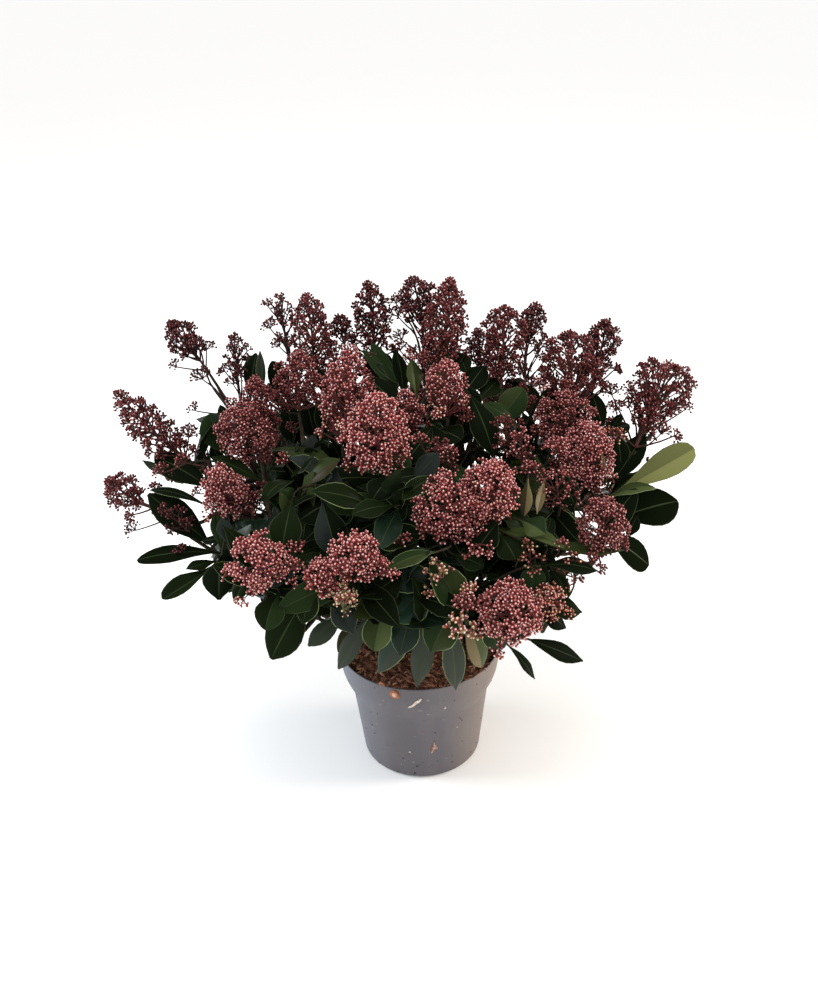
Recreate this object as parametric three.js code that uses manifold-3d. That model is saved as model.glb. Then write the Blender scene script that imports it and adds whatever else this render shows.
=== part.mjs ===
// Potted skimmia, a low evergreen shrub with many upright flower heads in bud.
// Millimetres, +Z up. The origin is the centre of the pot's flat underside.
//
// The shrub is a ring of stems that rise from a short foot, a crown of leaf
// masses round and above them, and one lumpy cone for each outlying flower head.
import * as THREE from 'three';
import { mergeVertices } from 'three/addons/utils/BufferGeometryUtils.js';
import Module from 'manifold-3d';

const wasm = await Module();
wasm.setup();

// ---------------------------------------------------------------- sizes (mm)
const GAP = 0.35;              // clearance kept between neighbouring pieces

const POT = {
  height: 148,
  rimRadius: 95,               // outside, at the top edge
  bandRadius: 93.8,            // outside, at the foot of the rim band
  bandDepth: 22,               // the rim band, measured down from the top edge
  shoulderRadius: 82,          // outside, where the shoulder cone ends
  shoulderDepth: 53,
  footRadius: 71.6,            // outside, just above the rounded bottom edge
  footEdge: 8,                 // height of the rounded bottom edge
  standRadius: 65.5,           // the flat disc the pot stands on
  wall: 2.2,
  floor: 3,
  sides: 48,
};

const SOIL = { edge: 141.5, middle: 146, flat: 34, sides: 32 };

const FOOT = { bottomRadius: 23, topRadius: 18, height: 20, sides: 12 };

const BOUGH = { sides: 7, steps: 5, rootRadius: 6.4, tipRadius: 3.8, start: 15, lift: 12 };
// azimuth, then how far out and how high the limb would run if nothing stopped it
const BOUGHS = {
  bough_front:       [-88, 150, 300],
  bough_front_right: [-38, 160, 305],
  bough_right:       [ 14, 165, 345],
  bough_back_right:  [ 66, 160, 320],
  bough_back_left:   [118, 160, 320],
  bough_left:        [168, 165, 340],
  bough_front_left:  [-140, 160, 310],
};
const LEADERS = {              // the two upright limbs in the middle
  leader_left:  [-165, 40, 430],
  leader_right: [ 15, 45, 430],
};

// Leaf masses: azimuth, reach and height of the middle, then the half sizes
// outwards, sideways and upwards, and the phase of the lumps.
const MASSES = {
  leaves_low_front:       [ -92, 158, 302, 86, 88, 64, 1],
  leaves_low_front_right: [ -50, 172, 326, 84, 82, 57, 2],
  leaves_low_right:       [   0, 202, 348, 98, 88, 70, 3],
  leaves_low_back_right:  [  48, 190, 318, 92, 88, 70, 4],
  leaves_low_back:        [  94, 190, 308, 92, 90, 72, 5],
  leaves_low_back_left:   [ 140, 190, 318, 92, 88, 70, 6],
  leaves_low_left:        [-174, 200, 350, 94, 88, 76, 7],
  leaves_low_front_left:  [-129, 178, 336, 88, 84, 64, 8],
  leaves_high_front:      [ -98, 104, 385, 82, 90, 62, 9],
  leaves_high_right:      [ -20, 128, 398, 84, 86, 62, 10],
  leaves_high_back_right: [  50, 112, 402, 80, 84, 60, 11],
  leaves_high_back_left:  [ 122, 108, 408, 80, 84, 60, 12],
  leaves_high_left:       [-168, 130, 402, 82, 88, 62, 13],
  leaves_top:             [ 170,  12, 438, 66, 66, 58, 14],
};
const MASS_DETAIL = 2;         // splits of the starting icosahedron
const LUMP = 0.10;             // depth of the lumps, as a share of the half size

// Flower heads: azimuth, reach and height of the base, lean from upright,
// the way it leans, length and greatest radius.
const HEADS = [
  [-177, 244, 410, 50,  156,  95, 27],
  [ 171, 202, 447, 35,  150, 104, 25],
  [ 162, 202, 443, 32,   94,  74, 19],
  [ 149, 157, 488, 28,  104,  65, 16],
  [ 159, 114, 472, 26,   94,  91, 23],
  [ 126,  62, 491, 29,   97,  82, 20],
  [  74,  51, 478, 30,   98,  99, 25],
  [  19,  29, 488, 32,   73,  98, 27],
  [   6,  94, 451, 30,   77, 101, 26],
  [  32, 148, 450, 32,   62,  84, 20],
  [   3, 170, 445, 38,   88,  80, 30],
  [  14, 204, 441, 33,   61,  81, 20],
  [  -2, 245, 407, 37,   47,  89, 36],
  [-162, 167, 408, 24, -103,  98, 33],
  [-134,  98, 446, 25,   85,  94, 29],
  [-104, 113, 433, 23,  -92, 100, 35],
  [ -58,  58, 458, 21,   74,  58, 25],
  [ -14, 160, 419, 10,  -53,  68, 31],
  [ -67, 162, 397, 30,  -87,  88, 27],
  [ -78, 163, 385, 34, -100,  89, 34],
  [ -36, 219, 351, 34,  -92,  79, 33],
  [-154, 207, 374, 31,  -95,  85, 28],
  [-173, 273, 342, 54,  170,  78, 29],
  [-128, 241, 355, 32,  -90,  83, 34],
  [-106, 208, 362, 34,  -89,  88, 32],
  [ -69, 224, 300, 33,  -86,  91, 37],
  [ -56, 232, 302, 33,  -92,  72, 21],
  [  28, 225, 305, 26,   28,  76, 27],
  [  52, 245, 318, 30,   50,  78, 28],
  [  76, 250, 296, 30,   76,  76, 28],
  [ 100, 246, 308, 30,  104,  76, 28],
  [ 122, 252, 324, 30,  120,  80, 28],
  [ 145, 244, 302, 30,  146,  76, 28],
];
const HEAD_SIDES = 7;
// outline of a head: share of its length, share of its radius
const HEAD_OUTLINE = [[0, 0.30], [0.22, 0.90], [0.50, 1.0], [0.80, 0.66]];

const COLOURS = {
  pot: 0x77787c, soil: 0x3a221a, bark: 0x5a4634, leaf: 0x2a3d26, bud: 0x7c3436,
};

// ------------------------------------------------------------------ helpers
const rad = THREE.MathUtils.degToRad;
const polar = (azimuth, reach, z) =>
  new THREE.Vector3(reach * Math.cos(rad(azimuth)), reach * Math.sin(rad(azimuth)), z);

// Gives a closed geometry with shared vertices and its faces pointing out.
function closed(geometry) {
  const g = geometry.clone();
  for (const name of Object.keys(g.attributes)) if (name !== 'position') g.deleteAttribute(name);
  const m = mergeVertices(g, 1e-4);
  const p = m.getAttribute('position'), index = Array.from(m.index.array), keep = [];
  for (let i = 0; i < index.length; i += 3) {
    const [a, b, c] = index.slice(i, i + 3);
    if (a !== b && b !== c && c !== a) keep.push([a, b, c]);
  }
  const v = (i) => new THREE.Vector3().fromBufferAttribute(p, i);
  let volume = 0;
  for (const [a, b, c] of keep) volume += v(a).dot(v(b).cross(v(c))) / 6;
  m.setIndex(keep.flatMap(([a, b, c]) => (volume < 0 ? [a, c, b] : [a, b, c])));
  return m;
}

function toSolid(geometry) {
  const m = closed(geometry);
  return new wasm.Manifold(new wasm.Mesh({
    numProp: 3,
    vertProperties: new Float32Array(m.getAttribute('position').array),
    triVerts: new Uint32Array(m.index.array),
  }));
}

// The largest piece of a solid, or the one nearest to a point.
function onePiece(solid, near = null) {
  const parts = solid.decompose();
  const score = (s) => {
    if (!near) return -s.volume();
    const b = s.boundingBox(), d = new THREE.Vector3();
    for (let i = 0; i < 3; i++) {
      const x = near.getComponent(i);
      d.setComponent(i, Math.max(b.min[i] - x, 0, x - b.max[i]));
    }
    return d.length();
  };
  return parts.sort((a, b) => score(a) - score(b))[0];
}

function toGeometry(solid) {
  const m = solid.getMesh();
  const g = new THREE.BufferGeometry();
  g.setAttribute('position', new THREE.BufferAttribute(new Float32Array(m.vertProperties), 3));
  g.setIndex(Array.from(m.triVerts));
  return g;
}

const group = new THREE.Group();
const finish = (colour, roughness) =>
  new THREE.MeshStandardMaterial({ color: colour, roughness, metalness: 0, flatShading: true });

// Adds a piece with its own origin at the middle of its box.
function add(name, geometry, colour, roughness) {
  geometry.computeBoundingBox();
  const c = geometry.boundingBox.getCenter(new THREE.Vector3());
  geometry.translate(-c.x, -c.y, -c.z);
  const mesh = new THREE.Mesh(geometry, finish(colour, roughness));
  mesh.name = name;
  mesh.position.copy(c);
  group.add(mesh);
}

// A body of revolution about Z from pairs of radius and height.
function turned(profile, sides) {
  return closed(new THREE.LatheGeometry(profile.map(([r, z]) => new THREE.Vector2(r, z)), sides)
    .rotateX(Math.PI / 2));
}

// ------------------------------------------------------------- pot and soil
const top = POT.height;
const outside = [
  [POT.standRadius, 0],
  [POT.footRadius - 2.2, POT.footEdge * 0.25],
  [POT.footRadius, POT.footEdge],
  [POT.shoulderRadius, top - POT.shoulderDepth],
  [(POT.shoulderRadius + POT.bandRadius) / 2 + 1.6, top - (POT.shoulderDepth + POT.bandDepth) / 2],
  [POT.bandRadius, top - POT.bandDepth],
  [POT.rimRadius, top],
];
const inside = outside.slice(1).map(([r, z]) => [r - POT.wall, Math.max(z, POT.floor)]).reverse();
add('pot', turned([[0, 0], ...outside, ...inside, [0, POT.floor]], POT.sides), COLOURS.pot, 0.6);

const soilSide = inside.slice().reverse()
  .filter(([, z]) => z > POT.floor + 1 && z < SOIL.edge - 2)
  .map(([r, z]) => [r - 3 * GAP, z]);
const innerAt = (z) => {
  const p = inside.slice().reverse();
  for (let i = 1; i < p.length; i++) {
    if (z <= p[i][1]) return p[i - 1][0] + (p[i][0] - p[i - 1][0]) * (z - p[i - 1][1]) / (p[i][1] - p[i - 1][1]);
  }
  return p.at(-1)[0];
};
add('soil', turned([
  [0, POT.floor + GAP], [innerAt(POT.floor + 2) - 8, POT.floor + GAP], ...soilSide,
  [innerAt(SOIL.edge) - 3 * GAP, SOIL.edge], [SOIL.flat, SOIL.middle], [0, SOIL.middle],
], SOIL.sides), COLOURS.soil, 1);

// --------------------------------------------------------------- leaf masses
const lump = (d, phase) =>
  Math.sin(3.1 * d.x + 1.7 * phase) * Math.cos(2.7 * d.y - phase) * 0.5
  + Math.sin(4.3 * d.z + 2.3 * phase + 2 * d.x) * 0.3
  + Math.cos(5.2 * d.y + 3.9 * d.x - 1.3 * phase) * 0.2;

function massGeometry([azimuth, reach, height, out, side, up, phase], grow = 0) {
  const g = new THREE.IcosahedronGeometry(1, MASS_DETAIL);
  const p = g.getAttribute('position'), d = new THREE.Vector3();
  for (let i = 0; i < p.count; i++) {
    d.fromBufferAttribute(p, i).normalize();
    const k = 1 + LUMP * lump(d, phase) + grow;
    p.setXYZ(i, d.x * out * k, d.y * side * k, d.z * up * k);
  }
  const c = polar(azimuth, reach, height);
  return g.rotateZ(rad(azimuth)).translate(c.x, c.y, c.z);
}

// How far an ellipsoid-like piece reaches from its middle along a direction.
function extent(geometry, centre, direction) {
  const p = geometry.getAttribute('position'), v = new THREE.Vector3();
  let most = 0;
  for (let i = 0; i < p.count; i++) {
    most = Math.max(most, v.fromBufferAttribute(p, i).sub(centre).dot(direction));
  }
  return most;
}

// Splits the room between two rounded pieces with a plane, and returns the
// plane's place for the first of them.
function between(a, b) {
  const n = b.centre.clone().sub(a.centre), d = n.length();
  n.divideScalar(d);
  const ea = extent(a.geometry, a.centre, n), eb = extent(b.geometry, b.centre, n.clone().negate());
  if (ea + eb <= d) return null;
  return { normal: n, offset: n.dot(a.centre) + d * ea / (ea + eb) };
}

function trimmed(piece, others, gap) {
  let solid = toSolid(piece.geometry);
  for (const other of others) {
    if (other.name === piece.name) continue;
    const cut = between(piece, other);
    if (!cut) continue;
    const n = cut.normal.clone().negate();
    solid = solid.trimByPlane(n.toArray(), -(cut.offset - gap));
  }
  return onePiece(solid, piece.centre);
}

const masses = Object.entries(MASSES).map(([name, sizes]) => ({
  name, geometry: massGeometry(sizes), centre: polar(sizes[0], sizes[1], sizes[2]), sizes,
}));
const massSolids = masses.map((m) => trimmed(m, masses, GAP));
masses.forEach((m, i) => add(m.name, toGeometry(massSolids[i]), COLOURS.leaf, 0.5));

// The same masses a little larger, which the stems and flower heads end at.
const massCutters = masses.map((m) => {
  const grown = { ...m, geometry: massGeometry(m.sizes, 0.012) };
  return trimmed(grown, masses, -GAP);
});

// -------------------------------------------------------------- flower heads
function headGeometry([, , , , , length, radius], phase, grow = 0) {
  const profile = [[0, 0], ...HEAD_OUTLINE.map(([t, r]) => [r * radius + grow, t * length]), [0, length]];
  profile[0][1] -= grow; profile.at(-1)[1] += grow;
  const g = closed(new THREE.LatheGeometry(profile.map(([r, y]) => new THREE.Vector2(r, y)), HEAD_SIDES));
  const p = g.getAttribute('position');
  for (let i = 0; i < p.count; i++) {
    const x = p.getX(i), y = p.getY(i), z = p.getZ(i), a = Math.atan2(z, x);
    const k = 1 + 0.12 * Math.sin(2 * a + phase + y * 0.05) + 0.08 * Math.cos(3 * a - 2 * phase);
    p.setXYZ(i, x * k, y, z * k);
  }
  return g;
}

const up = new THREE.Vector3(0, 1, 0);
const heads = HEADS.map((sizes, i) => {
  const [azimuth, reach, height, lean, way, length] = sizes;
  const axis = new THREE.Vector3(
    Math.sin(rad(lean)) * Math.cos(rad(way)), Math.sin(rad(lean)) * Math.sin(rad(way)), Math.cos(rad(lean)));
  const base = polar(azimuth, reach, height);
  const place = (g) => {
    g.applyQuaternion(new THREE.Quaternion().setFromUnitVectors(up, axis));
    return g.translate(base.x, base.y, base.z);
  };
  return {
    name: `flower_head_${String(i + 1).padStart(2, '0')}`,
    geometry: place(headGeometry(sizes, i)),
    centre: base.clone().addScaledVector(axis, 0.5 * length),
    tip: base.clone().addScaledVector(axis, length),
  };
});
for (const head of heads) {
  let solid = trimmed(head, heads, GAP);
  massCutters.forEach((cutter) => { solid = solid.subtract(cutter); });
  add(head.name, toGeometry(onePiece(solid)), COLOURS.bud, 0.7);
}

// --------------------------------------------------------------------- stems
const footBottom = SOIL.middle + GAP, footTop = footBottom + FOOT.height;
const footProfile = (grow) => [
  [0, footBottom - grow], [FOOT.bottomRadius + grow, footBottom - grow],
  [(FOOT.bottomRadius + FOOT.topRadius) / 2 - 1 + grow, footBottom + 0.4 * FOOT.height],
  [FOOT.topRadius + grow, footTop - 3], [FOOT.topRadius - 4 + grow, footTop + grow], [0, footTop + grow],
];
add('stem_foot', turned(footProfile(0), FOOT.sides), COLOURS.bark, 0.85);
const footCutter = toSolid(turned(footProfile(GAP), FOOT.sides));

// A tapering limb: a tapered cylinder bent along a curve.
function limb(curve, rootRadius, tipRadius) {
  const g = new THREE.CylinderGeometry(tipRadius, rootRadius, 1, BOUGH.sides, BOUGH.steps);
  const p = g.getAttribute('position');
  const side = new THREE.Vector3(), over = new THREE.Vector3();
  for (let i = 0; i < p.count; i++) {
    const t = THREE.MathUtils.clamp(p.getY(i) + 0.5, 0, 1);
    const at = curve.getPoint(t), along = curve.getTangent(t);
    side.set(-Math.sin(curve.turn), Math.cos(curve.turn), 0);
    over.crossVectors(along, side).normalize();
    at.addScaledVector(side, p.getX(i)).addScaledVector(over, p.getZ(i));
    p.setXYZ(i, at.x, at.y, at.z);
  }
  return g;
}

function bough(name, azimuth, start, reach, height, rootRadius) {
  const a = polar(azimuth, start, footTop - (start > 10 ? BOUGH.lift : 4));
  const c = polar(azimuth, reach, height);
  const b = new THREE.Vector3(a.x + 0.42 * (c.x - a.x), a.y + 0.42 * (c.y - a.y), a.z + 0.62 * (c.z - a.z));
  const curve = new THREE.QuadraticBezierCurve3(a, b, c);
  curve.turn = rad(azimuth);
  let solid = toSolid(limb(curve, rootRadius, BOUGH.tipRadius)).subtract(footCutter);
  massCutters.forEach((cutter) => { solid = solid.subtract(cutter); });
  const near = curve.getPoint(0.12);
  add(name, toGeometry(onePiece(solid, near)), COLOURS.bark, 0.85);
}
for (const [name, [azimuth, reach, height]] of Object.entries(BOUGHS)) {
  bough(name, azimuth, BOUGH.start, reach, height, BOUGH.rootRadius);
}
for (const [name, [azimuth, reach, height]] of Object.entries(LEADERS)) {
  bough(name, azimuth, 7, reach, height, BOUGH.rootRadius - 0.6);
}

export default group;
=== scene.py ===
# Potted skimmia in bud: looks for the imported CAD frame.
# Everything is in metres, in the CAD frame: +Z up, the origin under the pot.
# The tables below are in millimetres, or in picture pixels (818 x 1000) with
# the depth y in metres, and are turned into metres where they are used.

import math
import zlib

import bpy
import numpy as np
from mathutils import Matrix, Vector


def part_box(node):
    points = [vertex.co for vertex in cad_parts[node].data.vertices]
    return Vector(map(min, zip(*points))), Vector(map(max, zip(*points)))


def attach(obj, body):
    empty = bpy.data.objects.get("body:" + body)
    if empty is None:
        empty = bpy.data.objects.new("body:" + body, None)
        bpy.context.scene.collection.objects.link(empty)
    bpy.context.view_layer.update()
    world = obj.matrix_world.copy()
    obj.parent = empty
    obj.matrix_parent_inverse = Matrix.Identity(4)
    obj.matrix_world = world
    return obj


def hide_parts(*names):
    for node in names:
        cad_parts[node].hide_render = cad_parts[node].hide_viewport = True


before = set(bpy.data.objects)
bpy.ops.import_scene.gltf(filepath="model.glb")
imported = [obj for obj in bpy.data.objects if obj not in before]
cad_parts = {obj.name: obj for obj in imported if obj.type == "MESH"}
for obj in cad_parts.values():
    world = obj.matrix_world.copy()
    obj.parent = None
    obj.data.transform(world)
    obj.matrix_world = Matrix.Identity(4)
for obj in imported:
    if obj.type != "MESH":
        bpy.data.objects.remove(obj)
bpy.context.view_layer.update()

MM = 0.001
GOLDEN = math.pi * (3 - math.sqrt(5))


# ------------------------------------------------------------------ camera
CAM_AT = np.array([-0.007, -1.09, 0.910])
PITCH, ROLL, FOCAL = math.radians(27.64), math.radians(1.85), 1104.6
WIDE, HIGH = 818, 1000
AHEAD = np.array([0, math.cos(PITCH), -math.sin(PITCH)])
UPRIGHT = np.array([0, math.sin(PITCH), math.cos(PITCH)])
ACROSS = np.array([1.0, 0, 0])
CAM_UP = UPRIGHT * math.cos(ROLL) + ACROSS * math.sin(ROLL)
CAM_RIGHT = ACROSS * math.cos(ROLL) - UPRIGHT * math.sin(ROLL)


def spot(px, py, y):
    """The point at depth y that lies under a pixel of the picture."""
    ray = CAM_RIGHT * (px - WIDE / 2) / FOCAL + CAM_UP * (HIGH / 2 - py) / FOCAL + AHEAD
    return CAM_AT + ray * (y - CAM_AT[1]) / ray[1]


def set_camera():
    data = bpy.data.cameras.new("camera")
    data.sensor_fit, data.sensor_height = "VERTICAL", 36.0
    data.lens = FOCAL * 36.0 / HIGH
    data.clip_start, data.clip_end = 0.05, 200
    ob = bpy.data.objects.new("camera", data)
    bpy.context.scene.collection.objects.link(ob)
    from mathutils import Matrix
    m = Matrix.Identity(4)
    for row in range(3):
        m[row][0], m[row][1], m[row][2], m[row][3] = (
            CAM_RIGHT[row], CAM_UP[row], -AHEAD[row], CAM_AT[row])
    ob.matrix_world = m
    bpy.context.scene.camera = ob


# --------------------------------------------------------------- small maths
def rng_for(name):
    return np.random.default_rng(zlib.crc32(name.encode()))


def unit(v):
    v = np.asarray(v, float)
    return v / np.maximum(np.linalg.norm(v, axis=-1, keepdims=True), 1e-12)


def frames(axis):
    """Two directions at right angles to each row of axis, and to each other."""
    axis = np.atleast_2d(axis)
    ref = np.where(np.abs(axis[:, 2:3]) < 0.9, [[0, 0, 1.0]], [[1.0, 0, 0]])
    u = unit(np.cross(ref, axis))
    return u, np.cross(axis, u)


def on_cap(n, half_angle, spin):
    """n unit directions spread evenly over a cap round +Z."""
    i = np.arange(n) + 0.5
    z = 1 - (1 - math.cos(half_angle)) * i / n
    s = np.sqrt(np.maximum(0, 1 - z * z))
    a = i * GOLDEN + spin
    return np.stack([s * np.cos(a), s * np.sin(a), z], -1)


def turned_to(local, axis):
    """Turns directions round +Z to lie round one axis."""
    u, v = frames(axis)
    return local[:, 0:1] * u + local[:, 1:2] * v + local[:, 2:3] * np.atleast_2d(axis)


def bezier(p0, p1, p2, p3, t):
    t = np.asarray(t)[:, None]
    return ((1 - t) ** 3 * p0 + 3 * (1 - t) ** 2 * t * p1 + 3 * (1 - t) * t * t * p2 + t ** 3 * p3)


# ------------------------------------------------------------- mesh building
class Bag:
    """Gathers the faces of one piece."""

    def __init__(self):
        self.points, self.faces, self.count = [], {3: [], 4: []}, 0

    def add(self, points, quads=(), quad_slots=0, tris=(), tri_slots=0):
        points = np.asarray(points, float).reshape(-1, 3)
        for size, faces, slots in ((4, quads, quad_slots), (3, tris, tri_slots)):
            faces = np.asarray(faces, int).reshape(-1, size)
            if len(faces):
                self.faces[size].append((faces + self.count, np.broadcast_to(slots, len(faces)).copy()))
        self.points.append(points)
        self.count += len(points)

    def triangles(self):
        return sum(len(f) for f, _ in self.faces[3]) + 2 * sum(len(f) for f, _ in self.faces[4])


def build(name, bag, materials, nodes=(), smooth=True):
    co = np.concatenate(bag.points)
    index, starts, slots, at = [], [], [], 0
    for size in (4, 3):
        for faces, used in bag.faces[size]:
            index.append(faces.ravel())
            starts.append(at + size * np.arange(len(faces)))
            slots.append(used)
            at += size * len(faces)
    index, starts, slots = map(np.concatenate, (index, starts, slots))
    me = bpy.data.meshes.new(name)
    me.vertices.add(len(co))
    me.vertices.foreach_set("co", co.ravel().astype(np.float32))
    me.loops.add(len(index))
    me.loops.foreach_set("vertex_index", index.astype(np.int32))
    me.polygons.add(len(starts))
    me.polygons.foreach_set("loop_start", starts.astype(np.int32))
    for m in materials:
        me.materials.append(m)
    me.polygons.foreach_set("material_index", slots.astype(np.int32))
    me.polygons.foreach_set("use_smooth", np.full(len(starts), smooth))
    me.update(calc_edges=True)
    me.validate()
    ob = bpy.data.objects.new(name, me)
    bpy.context.scene.collection.objects.link(ob)
    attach(ob, "root")
    if nodes:
        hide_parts(*nodes)
    return ob


def tubes(bag, paths, radii, sides, slot=0, capped=False):
    """Round tubes along paths of shape (n, k, 3) with radii of shape (n, k)."""
    paths, radii = np.asarray(paths, float), np.asarray(radii, float)
    if not len(paths):
        return
    n, k = paths.shape[:2]
    along = unit(np.gradient(paths, axis=1))
    chord = unit(paths[:, -1] - paths[:, 0])
    ref = frames(chord)[0][:, None, :]
    side = unit(ref - (ref * along).sum(-1, keepdims=True) * along)
    over = np.cross(along, side)
    a = np.arange(sides) * 2 * math.pi / sides
    ring = side[:, :, None] * np.cos(a)[:, None] + over[:, :, None] * np.sin(a)[:, None]
    points = paths[:, :, None] + ring * radii[:, :, None, None]
    index = np.arange(n * k * sides).reshape(n, k, sides)
    lo, hi = index[:, :-1], index[:, 1:]
    quads = np.stack([lo, np.roll(lo, -1, 2), np.roll(hi, -1, 2), hi], -1)
    slots = np.broadcast_to(np.asarray(slot).reshape(-1, 1), (n, (k - 1) * sides)).ravel()
    tris, tri_slots, all_points = (), 0, points.reshape(-1, 3)
    if capped:
        tips = paths[:, -1] + along[:, -1] * radii[:, -1:] * 0.8
        foot = paths[:, 0] - along[:, 0] * radii[:, :1] * 0.2
        t = n * k * sides + np.arange(n)[:, None]
        last, first = index[:, -1], index[:, 0]
        up = np.stack([last, np.roll(last, -1, 1), np.broadcast_to(t, last.shape)], -1)
        down = np.stack([np.roll(first, -1, 1), first, np.broadcast_to(t + n, first.shape)], -1)
        tris = np.concatenate([up.reshape(-1, 3), down.reshape(-1, 3)])
        one = np.broadcast_to(np.asarray(slot).reshape(-1, 1), (n, sides)).ravel()
        tri_slots = np.concatenate([one, one])
        all_points = np.concatenate([all_points, tips, foot])
    bag.add(all_points, quads.reshape(-1, 4), slots, tris, tri_slots)


# ----------------------------------------------------------------- materials
def material(name, colour, roughness, specular=0.5, coat=0.0, coat_rough=0.3, sheen=0.0):
    m = bpy.data.materials.new(name)
    m.use_nodes = True
    p = m.node_tree.nodes["Principled BSDF"]
    p.inputs["Base Color"].default_value = (*colour, 1)
    p.inputs["Roughness"].default_value = roughness
    p.inputs["Specular IOR Level"].default_value = specular
    p.inputs["Coat Weight"].default_value = coat
    p.inputs["Coat Roughness"].default_value = coat_rough
    p.inputs["Sheen Weight"].default_value = sheen
    m.diffuse_color = (*colour, 1)
    return m, m.node_tree, p


def node(tree, kind, **values):
    n = tree.nodes.new(kind)
    for key, value in values.items():
        if key in n.inputs:
            n.inputs[key].default_value = value
        else:
            setattr(n, key, value)
    return n


def noise(tree, scale, detail=3.0, rough=0.55, stretch=None, distortion=0.0):
    coords = tree.nodes.new("ShaderNodeTexCoord")
    n = node(tree, "ShaderNodeTexNoise", Scale=scale, Detail=detail, Roughness=rough, Distortion=distortion)
    if stretch is None:
        tree.links.new(coords.outputs["Object"], n.inputs["Vector"])
    else:
        m = node(tree, "ShaderNodeMapping", Scale=stretch)
        tree.links.new(coords.outputs["Object"], m.inputs["Vector"])
        tree.links.new(m.outputs["Vector"], n.inputs["Vector"])
    return n.outputs["Fac"]


def ramp(tree, value, stops):
    r = tree.nodes.new("ShaderNodeValToRGB")
    e = r.color_ramp.elements
    while len(e) < len(stops):
        e.new(0.5)
    for one, (at, colour) in zip(e, stops):
        one.position = at
        one.color = (*colour, 1) if len(colour) == 3 else colour
    tree.links.new(value, r.inputs["Fac"])
    return r.outputs["Color"]


def spread(tree, value, low, high, start=0.3, end=0.7):
    m = tree.nodes.new("ShaderNodeMapRange")
    for key, x in (("From Min", start), ("From Max", end), ("To Min", low), ("To Max", high)):
        m.inputs[key].default_value = x
    tree.links.new(value, m.inputs["Value"])
    return m.outputs["Result"]


def bump(tree, p, height, strength, distance):
    b = node(tree, "ShaderNodeBump", Strength=strength, Distance=distance)
    tree.links.new(height, b.inputs["Height"])
    tree.links.new(b.outputs["Normal"], p.inputs["Normal"])


def blend(tree, factor, a, b):
    m = tree.nodes.new("ShaderNodeMix")
    m.data_type = "RGBA"
    tree.links.new(factor, m.inputs["Factor"])
    for socket, x in ((m.inputs["A"], a), (m.inputs["B"], b)):
        if isinstance(x, tuple):
            socket.default_value = (*x, 1)
        else:
            tree.links.new(x, socket)
    return m.outputs["Result"]


def leaf_material(name, colour, low=0.28, high=0.46, specular=0.09):
    m, tree, p = material(name, colour, 0.4, specular)
    fine = noise(tree, 260.0, 4.0, 0.6)
    broad = noise(tree, 45.0, 2.0)
    tree.links.new(spread(tree, broad, low, high), p.inputs["Roughness"])
    bump(tree, p, fine, 0.22, 0.0006)
    return m


def bud_material(name, colour, roughness=0.42, specular=0.08):
    m, tree, p = material(name, colour, roughness, specular)
    bump(tree, p, noise(tree, 1400.0, 2.0), 0.15, 0.0002)
    tree.links.new(spread(tree, noise(tree, 900.0, 2.0), roughness - 0.1, roughness + 0.12),
                   p.inputs["Roughness"])
    return m


def bark_material(name, dark, light, scale=170.0, depth=0.0012):
    m, tree, p = material(name, light, 0.8, 0.10)
    grain = noise(tree, scale, 6.0, 0.65, stretch=(1, 1, 0.35))
    blotch = noise(tree, scale * 0.22, 3.0)
    colour = ramp(tree, grain, [(0.3, dark), (0.52, light), (0.75, tuple(min(1, c * 1.5) for c in light))])
    tree.links.new(blend(tree, spread(tree, blotch, 0.0, 0.55, 0.45, 0.7), colour, dark), p.inputs["Base Color"])
    tree.links.new(spread(tree, grain, 0.68, 0.92), p.inputs["Roughness"])
    bump(tree, p, grain, 0.8, depth)
    return m


def pot_material():
    m, tree, p = material("pot_plastic", (0.18, 0.17, 0.185), 0.55, 0.35)
    cloud = noise(tree, 16.0, 5.0, 0.6)
    streak = noise(tree, 30.0, 4.0, 0.6, stretch=(1, 1, 0.18))
    coords, split = tree.nodes.new("ShaderNodeTexCoord"), tree.nodes.new("ShaderNodeSeparateXYZ")
    tree.links.new(coords.outputs["Object"], split.inputs["Vector"])
    across = spread(tree, split.outputs["X"], 0.0, 1.0, -0.09, 0.09)
    painted_cool_light, painted_middle_shade, painted_warm_light = (0.134, 0.140, 0.163), (0.101, 0.093, 0.104), (0.202, 0.160, 0.135)     # painted light and shade: cool light on the left side, shade down the middle, warm light on the right side
    base = blend(tree, spread(tree, cloud, 0.0, 1.0, 0.25, 0.75), *(
        ramp(tree, across, [(at, tuple(k * x for x in c)) for at, c in ((0.02, painted_cool_light), (0.30, painted_middle_shade), (0.62, painted_middle_shade), (0.98, painted_warm_light))])
        for k in (0.88, 1.12)))
    dusty = blend(tree, spread(tree, streak, 0.0, 0.20, 0.5, 0.75), base, (0.225, 0.205, 0.19))
    specks = noise(tree, 330.0, 2.0, 0.4)
    marked = blend(tree, spread(tree, specks, 0.0, 0.75, 0.735, 0.78), dusty, (0.055, 0.045, 0.04))
    pale = noise(tree, 210.0, 1.0, 0.4)
    lit = blend(tree, spread(tree, pale, 0.0, 0.35, 0.73, 0.80), marked, (0.42, 0.40, 0.38))
    tree.links.new(lit, p.inputs["Base Color"])
    tree.links.new(spread(tree, cloud, 0.48, 0.66), p.inputs["Roughness"])
    bump(tree, p, noise(tree, 900.0, 3.0, 0.6), 0.25, 0.0004)
    return m


def soil_material():
    m, tree, p = material("peat", (0.045, 0.024, 0.017), 0.95, 0.2)
    crumb = noise(tree, 260.0, 8.0, 0.7)
    tree.links.new(ramp(tree, crumb, [(0.3, (0.036, 0.017, 0.010)), (0.5, (0.150, 0.064, 0.038)),
                                      (0.7, (0.33, 0.150, 0.086))]), p.inputs["Base Color"])
    bump(tree, p, crumb, 1.0, 0.003)
    return m


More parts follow.
